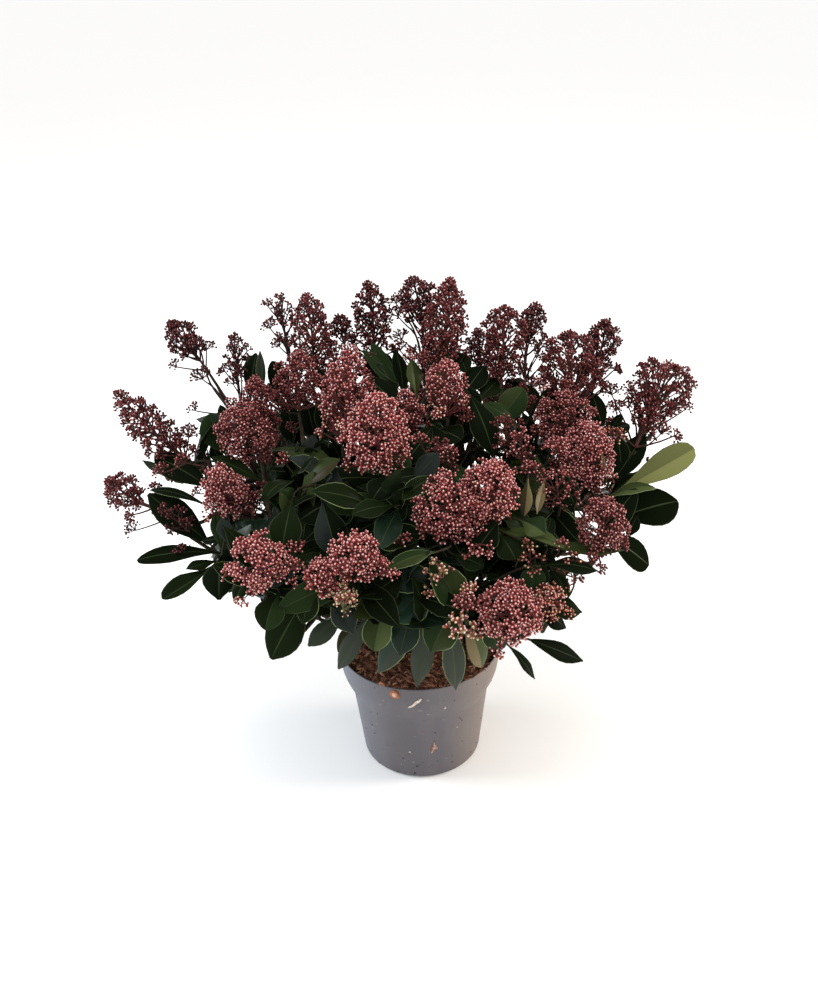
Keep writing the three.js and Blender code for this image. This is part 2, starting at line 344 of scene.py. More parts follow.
def chip_material(name, colour):
    m, tree, p = material(name, colour, 0.88, 0.25)
    grain = noise(tree, 420.0, 5.0, 0.7, stretch=(1, 0.4, 1))
    dark = tuple(c * 0.45 for c in colour)
    tree.links.new(ramp(tree, grain, [(0.32, dark), (0.6, colour)]), p.inputs["Base Color"])
    bump(tree, p, grain, 0.7, 0.0012)
    return m


# Leaf slots. The darkest blades are darker than the leaves' own green: painted shade. The bluish-grey blades are partly
# the leaves' own colour and partly a painted sheen.
BLADES = {
    "night": (0.0044, 0.0072, 0.0030), "dark": (0.0066, 0.0118, 0.0034), "green": (0.0115, 0.0235, 0.0062),
    "bottle": (0.0062, 0.0165, 0.0090), "slate": (0.0100, 0.0160, 0.0135), "olive": (0.0215, 0.0315, 0.0080),
    "moss": (0.046, 0.064, 0.018), "lime": (0.175, 0.185, 0.058), "straw": (0.27, 0.21, 0.115),
    "grey": (0.0232, 0.0318, 0.0195), "fern": (0.105, 0.115, 0.038), "khaki": (0.140, 0.108, 0.050),
    "teal": (0.0105, 0.0290, 0.0165), "peat": (0.026, 0.021, 0.008), "ink": (0.0040, 0.0066, 0.0026),
}
# gloss, and the least and greatest roughness
GLOSS = {
    "night": (0.009, 0.30, 0.46), "dark": (0.020, 0.26, 0.42), "green": (0.036, 0.26, 0.42), "bottle": (0.11, 0.20, 0.36),
    "slate": (0.13, 0.20, 0.36), "olive": (0.05, 0.28, 0.44), "moss": (0.08, 0.28, 0.44), "lime": (0.10, 0.28, 0.44),
    "straw": (0.08, 0.4, 0.6), "grey": (0.10, 0.28, 0.44), "fern": (0.08, 0.28, 0.44), "khaki": (0.07, 0.3, 0.5),
    "teal": (0.12, 0.22, 0.38), "peat": (0.06, 0.28, 0.44), "ink": (0.0, 0.45, 0.6),
}
BLADE_NAMES = list(BLADES)
B = {n: i for i, n in enumerate(BLADE_NAMES)}
MARGIN, RIB, UNDER, UNDER_PALE = (len(B) + i for i in range(4))
MARGIN_BRIGHT = len(B) + 4


def leaf_materials():
    made = [leaf_material("leaf_" + n, c, GLOSS[n][1], GLOSS[n][2], GLOSS[n][0]) for n, c in BLADES.items()]
    made.append(leaf_material("leaf_margin", (0.036, 0.050, 0.022), specular=0.06))
    made.append(leaf_material("leaf_rib", (0.026, 0.040, 0.015), specular=0.06))
    made.append(leaf_material("leaf_under", (0.014, 0.024, 0.010), 0.5, 0.65, 0.06))
    made.append(leaf_material("leaf_under_pale", (0.075, 0.095, 0.048), 0.5, 0.65, 0.08))
    made.append(leaf_material("leaf_margin_bright", (0.19, 0.25, 0.11), specular=0.06))
    return made


# Bud slots
# The two darkest bodies are painted shade for the backlit heads at the back and top of the crown.
BODIES = {
    # the brightest body is partly the buds' own red and partly painted light on the front heads
    "bright": (0.302, 0.055, 0.052), "rose": (0.236, 0.045, 0.047), "dusk": (0.160, 0.033, 0.033),
    "wine": (0.112, 0.020, 0.022), "shade_black": (0.050, 0.0120, 0.0125), "rust": (0.230, 0.066, 0.030),
    "copper": (0.330, 0.078, 0.036), "cream": (0.32, 0.250, 0.130),
}
# The pale tips are partly the buds' own paler tips and partly a painted highlight; the darkest tip is painted shade.
TIPS = {"pink": (0.74, 0.41, 0.38), "blush": (0.80, 0.57, 0.51), "dull": (0.40, 0.165, 0.150), "pale": (0.72, 0.56, 0.38), "deep": (0.140, 0.038, 0.038)}
BUD_SLOT = {n: i for i, n in enumerate(list(BODIES) + list(TIPS))}


def bud_materials():
    return [bud_material("bud_" + n, c) for n, c in BODIES.items()] + \
        [bud_material("bud_tip_" + n, c, 0.5, 0.14) for n, c in TIPS.items()]


# Stalk slots
STALKS = {
    "red": (0.125, 0.035, 0.033), "brown": (0.078, 0.030, 0.025), "dark": (0.034, 0.0140, 0.0125),
    "tan": (0.240, 0.120, 0.080),
    "green": (0.105, 0.105, 0.045), "flesh": (0.215, 0.098, 0.080),
}
STALK_SLOT = {n: i for i, n in enumerate(STALKS)}


# -------------------------------------------------------------- flower heads
# tints: how often each bud body and tip is used, and the stalk's colour
TINTS = {
    # the front heads' tint: partly their own red, partly painted light
    "fire":   ((("bright", 6), ("rose", 3), ("dusk", 1)), (("pink", 7), ("blush", 1.5), ("dull", 1)), "red"),
    "rose":   ((("rose", 6), ("bright", 2), ("dusk", 3)), (("pink", 6), ("blush", 1), ("dull", 2)), "red"),
    "loose":  ((("rose", 4), ("dusk", 3), ("rust", 2), ("copper", 1)), (("blush", 7), ("pink", 3)), "flesh"),
    "russet": ((("dusk", 5), ("wine", 5)), (("pink", 2), ("dull", 5)), "brown"),
    "dusk":   ((("dusk", 6), ("rose", 3), ("wine", 2)), (("pink", 4), ("dull", 4)), "brown"),
    # These two tints are painted shade: the backlit heads at the back and top get the darkest bodies and tips.
    "wine":   ((("wine", 6), ("dusk", 2.5), ("shade_black", 2)), (("dull", 2.6), ("deep", 6)), "brown"),
    "shade_black":   ((("shade_black", 6), ("wine", 3)), (("deep", 8), ("dull", 1)), "dark"),
    "open":   ((("rust", 2), ("rose", 2), ("cream", 1.5), ("copper", 1)), (("pale", 3), ("blush", 5)), "tan"),
    "rust":   ((("rust", 4), ("dusk", 4), ("cream", 1)), (("dull", 3), ("pale", 3)), "brown"),
    "copper": ((("rust", 3), ("dusk", 3), ("copper", 3)), (("pale", 3), ("pink", 4), ("dull", 1)), "brown"),
    "cream":  ((("cream", 4), ("rust", 3)), (("pale", 5), ("blush", 3)), "green"),
}
# kind: outside area for one bud (mm2), buds in a cyme, loose cymes below
KINDS = {
    "solid":  (14, 14, 2),
    "firm":   (17, 15, 3),
    "thick":  (18.5, 13, 4),
    "lobed":  (18, 17, 3),
    "dense":  (22, 12, 3),
    "mid":    (34, 10, 3),
    "airy":   (46, 9, 5),
    "sparse": (70, 7, 1),
}
# form: where along the axis it is widest, width at its foot, roundness of the
# top, how bare the lowest part is
FORMS = {
    "dome": (0.42, 0.55, 2.5, 0.00),
    "cone": (0.34, 0.70, 1.9, 0.00),
    "fan":  (0.70, 0.22, 2.6, 0.16),
    "top":  (0.74, 0.10, 2.3, 0.42),
    "tuft": (0.80, 0.10, 2.2, 0.56),
    "flat": (0.84, 0.18, 3.6, 0.12),
}
# name, tip (mm), base (mm), radius (mm), kind, tint
HEADS = [
    ("h01", (-318, 20, 471), (-250, -10, 405), 24, "lobed", "wine", "cone"),
    ("h02", (-259, 60, 534), (-200, 30, 448), 21, "lobed", "shade_black", "tuft"),
    ("h03", (-198, 100, 505), (-192, 60, 443), 17, "mid", "shade_black", "top"),
    ("h04", (-143, 110, 545), (-135, 80, 488), 15, "mid", "shade_black", "top"),
    ("h05", (-112, 80, 554), (-107, 40, 472), 25, "firm", "wine", "dome"),
    ("h06", (-78, 110, 517), (-68, 70, 466), 14, "lobed", "shade_black", "tuft"),
    ("h07", (-44, 90, 563), (-39, 50, 491), 22, "firm", "shade_black", "dome"),
    ("h08", (5, 100, 563), (14, 50, 478), 23, "lobed", "shade_black", "top"),
    ("h09", (44, 60, 572), (20, 10, 486), 25, "solid", "wine", "dome"),
    ("h10", (103, 60, 540), (94, 10, 452), 26, "lobed", "wine", "fan"),
    ("h10b", (78, 110, 497), (82, 80, 448), 18, "lobed", "shade_black", "fan"),
    ("h11", (146, 120, 523), (128, 80, 451), 18, "dense", "shade_black", "top"),
    ("h12", (172, 60, 509), (172, 10, 443), 35, "thick", "wine", "dome"),
    ("h13", (220, 90, 510), (198, 50, 441), 22, "lobed", "shade_black", "fan"),
    ("h14", (281, 30, 478), (240, -10, 403), 36, "firm", "wine", "flat"),
    ("h15", (-117, 10, 514), (-117, -30, 467), 25, "thick", "russet", "dome"),
    ("h16", (-162, -10, 495), (-161, -40, 456), 19, "thick", "russet", "dome"),
    ("h17", (-176, -90, 489), (-172, -55, 428), 30, "thick", "russet", "dome"),
    ("h18", (-61, -30, 533), (-71, -70, 447), 29, "thick", "rose", "cone"),
    ("h19", (-31, -150, 528), (-30, -110, 438), 34, "thick", "fire", "cone"),
    ("h20", (35, -30, 514), (34, -50, 465), 26, "thick", "rose", "dome"),
    ("h21", (-8, -70, 497), (-2, -60, 451), 20, "dense", "dusk", "dome"),
    ("h22", (26, -110, 461), (31, -90, 408), 19, "sparse", "wine", "dome"),
    ("h23", (153, -50, 483), (153, -40, 416), 32, "thick", "russet", "dome"),
    ("h25", (176, -100, 463), (179, -60, 387), 30, "thick", "rose", "dome"),
    ("h26", (135, -140, 438), (143, -110, 391), 22, "sparse", "dusk", "dome"),
    ("h28", (88, -80, 472), (95, -70, 435), 19, "sparse", "wine", "dome"),
    ("h29", (103, -120, 472), (109, -100, 421), 18, "sparse", "dusk", "dome"),
    ("h32", (-262, -86, 385), (-238, -78, 352), 18, "sparse", "shade_black", "dome"),
    ("h24", (67, -195, 475), (63, -150, 398), 27, "thick", "fire", "dome"),
    ("h24b", (25, -210, 460), (33, -160, 386), 34, "dense", "rose", "dome"),
    ("h27", (176, -175, 418), (181, -130, 348), 27, "thick", "russet", "dome"),
    ("h30", (-191, -135, 446), (-191, -90, 381), 23, "thick", "rose", "dome"),
    ("h31", (-332, -20, 386), (-288, -27, 355), 22, "lobed", "wine", "fan"),
    ("h33", (-144, -235, 420), (-150, -195, 363), 28, "thick", "fire", "dome"),
    ("h34", (-55, -250, 431), (-58, -205, 378), 25, "thick", "fire", "dome"),
    ("h35", (-87, -245, 404), (-86, -215, 360), 15, "dense", "fire", "dome"),
    ("h37", (85, -260, 378), (83, -215, 308), 30, "thick", "fire", "dome"),
    ("h38", (121, -235, 362), (123, -195, 308), 18, "dense", "copper", "dome"),
    ("h31b", (-299, 50, 365), (-227, 30, 370), 14, "sparse", "wine", "dome"),
    ("h41", (61, -220, 395), (50, -180, 389), 17, "sparse", "rose", "dome"),
    ("h36", (-69, -250, 383), (-71, -225, 344), 13, "sparse", "cream", "dome"),
    ("h42", (33, -268, 354), (38, -236, 324), 14, "sparse", "open", "dome"),
    ("h43", (17, -220, 389), (20, -200, 350), 12, "sparse", "open", "dome"),
    ("h39", (104, -200, 393), (106, -190, 370), 14, "sparse", "rust", "dome"),
    ("h40", (144, -200, 377), (150, -190, 346), 13, "sparse", "rust", "dome"),
]
# small cymes that stand apart: place (px, py, y), radius (mm), tint, and where
# the stalk starts (px, py) if it can be seen
CYMES = [
    ("s01", 188, 433, .00, 15, "wine", (186, 455)), ("s02", 135, 527, -.03, 12, "shade_black", (165, 520)),
    ("s03", 195, 408, .01, 9, "shade_black", (222, 414)), ("s04", 285, 460, -.09, 11, "rose", None),
    ("s05", 307, 465, -.10, 8, "wine", None), ("s06", 206, 346, .05, 12, "shade_black", (206, 372)),
    ("s07", 176, 364, .04, 9, "shade_black", (204, 370)), ("s08", 202, 375, .04, 14, "shade_black", (213, 386)),
    ("s09", 398, 313, .08, 12, "shade_black", (414, 332)), ("s10", 402, 336, .07, 12, "shade_black", (416, 350)),
    ("s11", 413, 350, .04, 9, "wine", (424, 366)), ("s12", 464, 415, -.06, 11, "wine", (458, 436)),
    ("s13", 556, 447, -.12, 15, "rose", None), ("s14", 532, 470, -.13, 13, "dusk", None),
    ("s15", 466, 603, -.25, 15, "rose", None), ("s16", 384, 569, -.24, 14, "fire", (362, 576)),
    ("s17", 400, 540, -.20, 12, "dusk", None), ("s18", 661, 430, .01, 14, "wine", (644, 448)),
    ("s19", 685, 407, .02, 10, "shade_black", (660, 425)), ("s20", 612, 391, .03, 13, "shade_black", (624, 420)),
    ("s21", 650, 462, -.02, 10, "shade_black", (634, 474)), ("s22", 183, 550, -.12, 10, "shade_black", (204, 552)),
    ("s23", 292, 565, -.23, 11, "rose", (276, 578)), ("s24", 570, 385, .03, 14, "shade_black", None),
    ("s25", 596, 375, .03, 12, "shade_black", None), ("s26", 250, 500, -.10, 15, "dusk", None),
    ("s27", 262, 487, -.09, 10, "wine", None), ("s28", 345, 600, -.25, 11, "open", None),
    ("s29", 420, 440, -.12, 10, "dusk", None), ("s30", 560, 545, -.19, 10, "dusk", None),
    ("s31", 590, 560, -.19, 10, "wine", (566, 564)), ("s32", 575, 575, -.19, 9, "wine", (556, 570)),
    ("s33", 448, 455, -.13, 13, "dusk", None), ("s34", 470, 590, -.24, 10, "open", None),
    ("s35", 230, 367, .06, 11, "shade_black", (238, 382)), ("s36", 233, 381, .05, 11, "shade_black", (240, 394)),
    ("s37", 247, 349, .08, 7, "shade_black", (238, 362)), ("s38", 270, 325, .09, 12, "shade_black", (286, 346)),
    ("s39", 279, 343, .08, 11, "shade_black", (290, 356)), ("s40", 532, 328, .10, 10, "shade_black", (527, 350)),
    ("s41", 520, 410, -.02, 11, "wine", None), ("s42", 533, 402, -.02, 10, "wine", None),
    ("s43", 613, 436, -.05, 15, "rust", (604, 462)), ("s44", 296, 548, -.20, 11, "rose", None),
    ("s45", 241, 371, .06, 12, "shade_black", (242, 392)), ("s46", 520, 371, .05, 14, "wine", (522, 390)),
    ("s47", 532, 383, .04, 12, "wine", (530, 398)), ("s48", 353, 340, .07, 13, "shade_black", (366, 354)),
    ("s49", 400, 347, .06, 12, "wine", (412, 362)), ("s50", 538, 346, .09, 12, "shade_black", (530, 366)),
    ("s51", 464, 354, .03, 9, "wine", None), ("s52", 616, 407, .01, 13, "wine", (622, 430)),
    ("s53", 604, 386, .03, 10, "shade_black", None), ("s54", 268, 304, .10, 9, "shade_black", (280, 320)),
    ("s55", 292, 322, .10, 9, "shade_black", (284, 336)), ("s56", 396, 300, .09, 11, "shade_black", (412, 326)),
    ("s57", 283, 408, -.02, 12, "wine", None), ("s58", 299, 401, -.01, 12, "wine", None),
    ("s59", 292, 428, -.02, 9, "wine", None), ("s60", 543, 359, .07, 12, "shade_black", (532, 376)),
    ("s61", 629, 404, .02, 11, "wine", (636, 424)), ("s62", 631, 387, .02, 12, "wine", (640, 408)),
    ("s63", 163, 469, -.06, 12, "russet", (186, 463)), ("s64", 185, 459, -.06, 11, "russet", (206, 466)),
    ("s65", 199, 491, -.08, 9, "wine", (222, 492)), ("s66", 684, 371, .03, 9, "wine", (668, 392)),
    ("s67", 668, 365, .03, 9, "wine", (662, 388)), ("s68", 553, 369, .05, 9, "shade_black", (557, 388)),
    ("s69", 233, 402, -.06, 9, "russet", (240, 420)), ("s70", 356, 342, .07, 9, "shade_black", (364, 358)),
    ("s71", 632, 395, .02, 11, "wine", (641, 416)), ("s72", 538, 353, .07, 9, "shade_black", (530, 368)),
]
# heads behind: azimuth, reach and height of the tip, radius, kind, tint
BACK = [
    ("b01", 28, 255, 372, 27, "mid", "dusk"), ("b02", 52, 280, 385, 27, "mid", "rose"),
    ("b03", 76, 285, 362, 27, "mid", "dusk"), ("b04", 100, 282, 372, 27, "mid", "rose"),
    ("b05", 122, 288, 392, 27, "mid", "dusk"), ("b06", 145, 280, 368, 27, "mid", "dusk"),
    ("b07", 18, 215, 418, 24, "mid", "dusk"), ("b08", 62, 210, 425, 26, "mid", "dusk"),
    ("b09", 90, 205, 430, 25, "mid", "rose"), ("b10", 117, 205, 420, 26, "mid", "dusk"),
    ("b11", 150, 215, 428, 24, "mid", "dusk"), ("b12", 65, 270, 300, 23, "mid", "rust"),
    ("b13", 110, 275, 305, 23, "mid", "rust"), ("b14", 72, 140, 470, 22, "mid", "wine"),
    ("b15", 128, 150, 475, 22, "mid", "wine"), ("b16", 12, 232, 350, 23, "mid", "dusk"),
    ("b17", 160, 236, 346, 23, "mid", "dusk"),
]

buds = {k: [] for k in ("at", "axis", "size", "body", "tip", "part")}
sticks = {3: [], 4: [], 5: []}      # sides: lists of (paths, radii, slot)
spikes = []                  # pedicels: starts, ends, slot, radius
capsules = []                # the room each head takes up: base, tip, radius
shoots = []                  # where each head or bare shoot carries its leaves


def pick(rng, options, n):
    names = [o[0] for o in options]
    weight = np.array([o[1] for o in options], float)
    return [names[i] for i in rng.choice(len(names), n, p=weight / weight.sum())]


def add_buds(rng, at, axis, size, tint, part):
    bodies, tips, _ = TINTS[tint]
    buds["at"].append(at)
    buds["axis"].append(axis)
    buds["size"].append(size)
    buds["body"].append([BUD_SLOT[b] for b in pick(rng, bodies, len(at))])
    buds["tip"].append([BUD_SLOT[t] for t in pick(rng, tips, len(at))])
    buds["part"].append(np.full(len(at), part))


def cyme(rng, hub, way, count, reach=1.0):
    """Small branched cluster: returns its branchlets, bud places and stalk starts."""
    k = max(1, int(round(count / 3.7)))
    ways = turned_to(on_cap(k, math.radians(66), rng.uniform(0, 6.28)), way)
    ways = unit(ways + rng.normal(0, 0.12, ways.shape))
    out = reach * MM * rng.uniform(3.3, 5.0, (k, 1))
    forks = hub + ways * out
    share = np.full(k, count // k)
    share[:count % k] += 1
    places, starts = [], []
    for fork, w, m in zip(forks, ways, share):
        around = turned_to(on_cap(m, math.radians(60), rng.uniform(0, 6.28)), w)
        around = unit(around + rng.normal(0, 0.15, around.shape))
        places.append(fork + around * reach * MM * rng.uniform(2.7, 3.9, (m, 1)))
        starts.append(np.repeat(fork[None], m, 0))
    return forks, np.concatenate(places), np.concatenate(starts)


def apart(points, least, rounds=5):
    """Pushes points apart until few are nearer to each other than least."""
    points = points.copy()
    for _ in range(rounds):
        d = points[:, None] - points[None]
        far = np.linalg.norm(d, axis=-1) + np.eye(len(points))
        push = np.where(far < least, (least - far) * 0.5, 0.0)
        np.fill_diagonal(push, 0)
        points += (d / far[..., None] * push[..., None]).sum(1) * 0.8
    return points


def panicle(name, tip, base, radius, kind, tint, part, form="dome"):
    rng = rng_for(name)
    tip, base, radius = np.array(tip) * MM, np.array(base) * MM, radius * MM
    area, per, loose = KINDS[kind]
    peak, low, power, bare = FORMS[form]
    loose = 0 if bare > 0.5 else loose
    axis = tip - base
    length = float(np.linalg.norm(axis))
    a = axis / length
    u, v = (x[0] for x in frames(a))
    sway = (u * rng.normal() + v * rng.normal()) * length * 0.03
    inset = min(7.0 * MM, radius * 0.4)

    def rachis(t):
        t = np.atleast_1d(t)[:, None]
        return base + axis * t + sway * np.sin(math.pi * t)

    def envelope(t):
        rise = low + (1 - low) * np.clip(t / peak, 0, 1) ** 0.8
        fall = np.sqrt(np.maximum(0, 1 - (np.maximum(t - peak, 0) / (1 - peak)) ** power))
        return np.where(t < peak, rise, fall)

    samples = np.linspace(0, 1, 400)
    wide = envelope(samples) * radius
    slope = np.gradient(wide, samples * length)
    skin = 2 * math.pi * wide * np.sqrt(1 + np.minimum(slope ** 2, 9)) * length / 400
    skin[samples < bare] = 0
    cymes = max(5, int(round(skin.sum() / (area * per) * 1e6)))
    summed = np.cumsum(skin) / skin.sum()
    t = np.interp((np.arange(cymes) + 0.5) / cymes, summed, samples)
    t[-1] = 1.0
    spin = rng.uniform(0, 6.28)
    turn = spin + GOLDEN * np.arange(cymes) + rng.normal(0, 0.16, cymes)
    lobes = 0.12 if kind == "lobed" else 0.08
    out = np.maximum(radius * envelope(t) - inset, 0) * (1 + rng.normal(0, lobes, cymes))
    out[rng.uniform(size=cymes) < 0.15] *= 0.72
    out[-1] = 0
    start = length * (0.06 + 0.5 * bare * 0.3)
    along = start + (length - inset - start) * t
    if loose:  # wide, low cymes that hang out below the head
        loose_at = rng.uniform(-0.15, 0.18, loose) if bare < 0.1 else rng.uniform(0.0, bare + 0.12, loose)
        t = np.concatenate([t, np.full(loose, 0.0)])
        turn = np.concatenate([turn, spin + 1.3 + np.arange(loose) * 6.28 / loose + rng.normal(0, 0.35, loose)])
        out = np.concatenate([out, radius * rng.uniform(0.80, 1.14, loose) - 2 * MM])
        along = np.concatenate([along, start + length * loose_at])
    radial = u * np.cos(turn)[:, None] + v * np.sin(turn)[:, None]
    heart = (tip + base) / 2
    backed = kind != "sparse" and radius > 22 * MM and bare < 0.1 and abs(heart[1]) > 0.12
    outward = np.array([0, math.copysign(1.0, heart[1]), 0])    # its other side is in the foliage
    keep = ~((radial @ outward < -0.45) & (t < 0.58)) if backed else np.ones(len(t), bool)
    keep[-1 - loose if loose else -1] = True
    t, along, out, radial = t[keep], along[keep], out[keep], radial[keep]
    cymes = int(keep[:cymes].sum())
    hubs = rachis(along / length) + radial * out[:, None]
    steep = 1.15 if bare > 0.1 else 0.8
    roots_at = np.maximum(along - out * steep - 1.5 * MM, -3 * MM)
    roots = rachis(roots_at / length)
    lean = np.clip(1.02 - 0.95 * t, 0.05, 1)[:, None]
    ways = unit(radial * lean + a * (1.15 - lean * 0.75) + np.array([0, 0, 0.25]))
    steps = np.linspace(0, 1, 4)
    mid = roots + radial * out[:, None] * 0.55 + a * (along - roots_at)[:, None] * 0.35
    paths = np.stack([(1 - s) ** 2 * roots + 2 * s * (1 - s) * mid + s * s * hubs for s in steps], 1)
    dark = tint in ("wine", "shade_black")
    thick = MM * np.interp(t, [0, 1], [1.12, 0.86] if dark else [0.98, 0.72])[:, None] * np.linspace(1.1, 0.8, 4)
    stalk = STALK_SLOT[TINTS[tint][2]]
    sticks[3 if part == 3 else 4].append((paths, thick, stalk))

    places, starts, branchlets, owner = [], [], [], []
    for i, (hub, way) in enumerate(zip(hubs, ways)):
        count = int(round(per * (1.0 if i < cymes - 1 else 1.35) * rng.uniform(0.8, 1.2)))
        forks, at, begin = cyme(rng, hub, way, max(3, count), 1.08 if kind == "lobed" else 1.0 if area < 45 else 1.15)
        places.append(at)
        starts.append(begin)
        owner.append(np.repeat(way[None], len(at), 0))
        branchlets.append(np.stack([np.repeat(hub[None], len(forks), 0), forks], 1))
    places, starts, owner = map(np.concatenate, (places, starts, owner))
    size = MM * np.clip(rng.normal(1.50 if dark else 1.44, 0.12, len(places)), 1.0, 1.85)
    size *= {"cream": 0.85, "open": 1.3, "fire": 1.05}.get(tint, 1.0)
    places = apart(places, (3.3 if tint in ("fire", "rose") else 3.05) * MM)
    pointing = unit(unit(places - starts) + 0.35 * owner + np.array([0, 0, 0.15]))
    # the lower and inner buds are duller than the top of the head: painted shade below its lit top
    height = (places - base) @ a / length + rng.normal(0, 0.08, len(places))
    # low down the bright heads they stand looser, on long pale stalks
    low_ = (height < 0.29) & (tint in ("fire", "rose"))
    stay = ~low_ | (rng.uniform(size=len(places)) < 0.62)
    places, starts, pointing, size, height, low_ = (x[stay] for x in (places, starts, pointing, size, height, low_))
    size = size * np.where(low_, 1.14, 1.0)
    shaded_tint = {"fire": "rose", "rose": "dusk", "dusk": "wine", "russet": "wine"}.get(tint, tint)
    split = (height < 0.33) & (shaded_tint != tint)
    for mask, named in ((~split & ~low_, tint), (split & ~low_, shaded_tint), (low_, "loose")):
        if mask.any():
            add_buds(rng, places[mask], pointing[mask], size[mask], named, part)
    branchlets = np.concatenate(branchlets)
    fork = [0.86 * MM, 0.70 * MM] if dark else [0.70 * MM, 0.56 * MM]
    sticks[3].append((branchlets, np.tile(fork, (len(branchlets), 1)), stalk))
    ends = places - pointing * size[:, None] * 0.7
    pale = STALK_SLOT["red"] if tint in ("fire", "rose", "dusk", "russet") else stalk
    spikes.append((starts, ends + pointing * size[:, None] * 0.9, np.where(low_, STALK_SLOT["flesh"], pale), 0.82 if dark else 0.66))
    core = rachis(np.linspace(-0.02, 0.97, 9))
    width = np.linspace(2.0, 0.9, 9) * MM * (0.8 if radius < 20 * MM else 1.0)
    sticks[5].append((core[None], width[None], stalk))
    capsules.append((base, tip, radius))
    return rachis(np.array([-0.02]))[0], a


def small_cyme(name, px, py, y, radius, tint, stalk=None):
    """A cyme of a few buds that stands apart from the heads."""
    rng = rng_for(name)
    hub = spot(px, py, y) - np.array([0, 0, 0.35 * radius * MM])
    begin = None if stalk is None else spot(*stalk, y)
    way = unit(np.array([0, 0, 1.0]) + (0 if begin is None else 0.8 * unit(hub - begin)))
    count = max(5, int(radius ** 2 * 0.22))
    reach = radius / 7.8
    forks, places, starts = cyme(rng, hub, way, count, reach)
    size = MM * np.clip(rng.normal(1.62 if tint == "open" else 1.30, 0.12, len(places)), 0.95, 1.9)
    places = apart(places, (3.8 if tint == "open" else 3.1) * MM)
    pointing = unit(unit(places - starts) + 0.3 * way)
    part = part_of(hub)
    add_buds(rng, places, pointing, size, tint, part)
    slot = STALK_SLOT[TINTS[tint][2]]
    sticks[3].append((np.stack([np.repeat(hub[None], len(forks), 0), forks], 1), np.tile([0.66 * MM, 0.52 * MM], (len(forks), 1)), slot))
    spikes.append((starts, places + pointing * size[:, None] * 0.2, slot, 0.66))
    if begin is None:
        add_shoot(name, hub, way, 0)
    else:
        s = np.linspace(0, 1, 7)[:, None]
        path = begin * (1 - s) + hub * s + np.array([0, 0, -1.0]) * 3 * MM * s * (1 - s)
        sticks[5].append((path[None], np.linspace(0.95, 0.7, 7)[None] * MM, slot))
        add_shoot(name, begin, unit(hub - begin), 0)


def part_of(point):
    """Thirds of the crown, so that no joined piece grows too large."""
    turn = math.degrees(math.atan2(point[1], point[0]))
    if point[1] < -0.105:
        return 0
    return 1 if point[0] < -0.012 else 2


def add_shoot(name, at, way, leaves, length=92, spread=(56, 100), carries=True):
    shoots.append(dict(name=name, at=np.asarray(at, float), way=unit(way), leaves=leaves,
                       length=length, spread=spread, carries=carries))


LEAFY = {"solid": 8, "firm": 8, "lobed": 8, "thick": 8, "dense": 8, "mid": 8, "airy": 7, "sparse": 4}
for name, tip, base, radius, kind, tint, form in HEADS:
    foot, a = panicle(name, tip, base, radius, kind, tint, part_of(np.array(base) * MM), form)
    b = np.array(base) * MM
    outward = unit(np.array([b[0], b[1], 0]))
    if name in ("h35", "h36", "h42", "h43", "h31b", "h25b", "h41", "h39", "h40", "h10b", "h06"):
        add_shoot(name, foot - unit(a + 0.3 * outward) * 6 * MM, a, 0)
    else:
        add_shoot(name, foot - a * 10 * MM - np.array([0, 0, 5 * MM]), unit(a + 0.15 * outward), LEAFY[kind])
for name, azimuth, reach, z, radius, kind, tint in BACK:
    w = math.radians(azimuth)
    out = np.array([math.cos(w), math.sin(w), 0])
    lean = np.interp(reach, [140, 290], [10, 32]) * math.pi / 180
    a = out * math.sin(lean) + np.array([0, 0, math.cos(lean)])
    tip = out * reach + np.array([0, 0, z + 12])
    length = 78 + 8 * (radius > 25)
    foot, a = panicle(name, tip, tip - a * length, radius, kind, tint, 3)
    add_shoot(name, foot - a * 10 * MM, a, LEAFY[kind])
for one in CYMES:
    small_cyme(*one)

# The outline that the leaves stay within, seen from the camera. Leaves with a
# place of their own may reach past it.
LEAF_EDGE = np.array([
    (172, 462), (172, 452), (200, 447), (198, 428), (212, 413), (236, 402), (250, 362), (262, 354), (280, 366),
    (300, 380), (325, 394), (345, 374), (358, 350), (372, 344), (392, 352), (412, 360), (430, 352), (452, 352),
    (478, 364), (500, 378), (530, 374), (560, 387), (592, 394), (616, 408), (638, 440), (648, 462), (642, 480),
    (660, 492), (664, 502), (650, 514), (628, 530), (622, 542), (604, 549), (552, 549), (556, 561), (590, 568),
    (574, 574), (568, 584), (566, 600), (574, 612), (552, 630), (530, 635), (512, 643), (500, 641), (488, 634),
    (456, 628), (418, 630), (380, 630), (350, 618), (322, 616), (300, 622), (285, 642), (268, 630), (258, 604),
    (244, 592), (232, 596), (219, 586), (208, 560), (214, 545), (218, 512), (203, 492), (186, 478)], float)


def seen_at(points):
    """Picture place of points, and how far they are from the camera."""
    d = points - CAM_AT
    far = d @ AHEAD
    return np.stack([WIDE / 2 + FOCAL * (d @ CAM_RIGHT) / far, HIGH / 2 - FOCAL * (d @ CAM_UP) / far], -1), far


def within(edge, places):
    """Whether picture places lie inside an outline."""
    x, y = places[..., 0, None], places[..., 1, None]
    x0, y0 = edge[:, 0], edge[:, 1]
    x1, y1 = np.roll(x0, -1), np.roll(y0, -1)
    crosses = ((y0 > y) != (y1 > y)) & (x < (x1 - x0) * (y - y0) / (y1 - y0 + 1e-9) + x0)
    return crosses.sum(-1) % 2 == 1


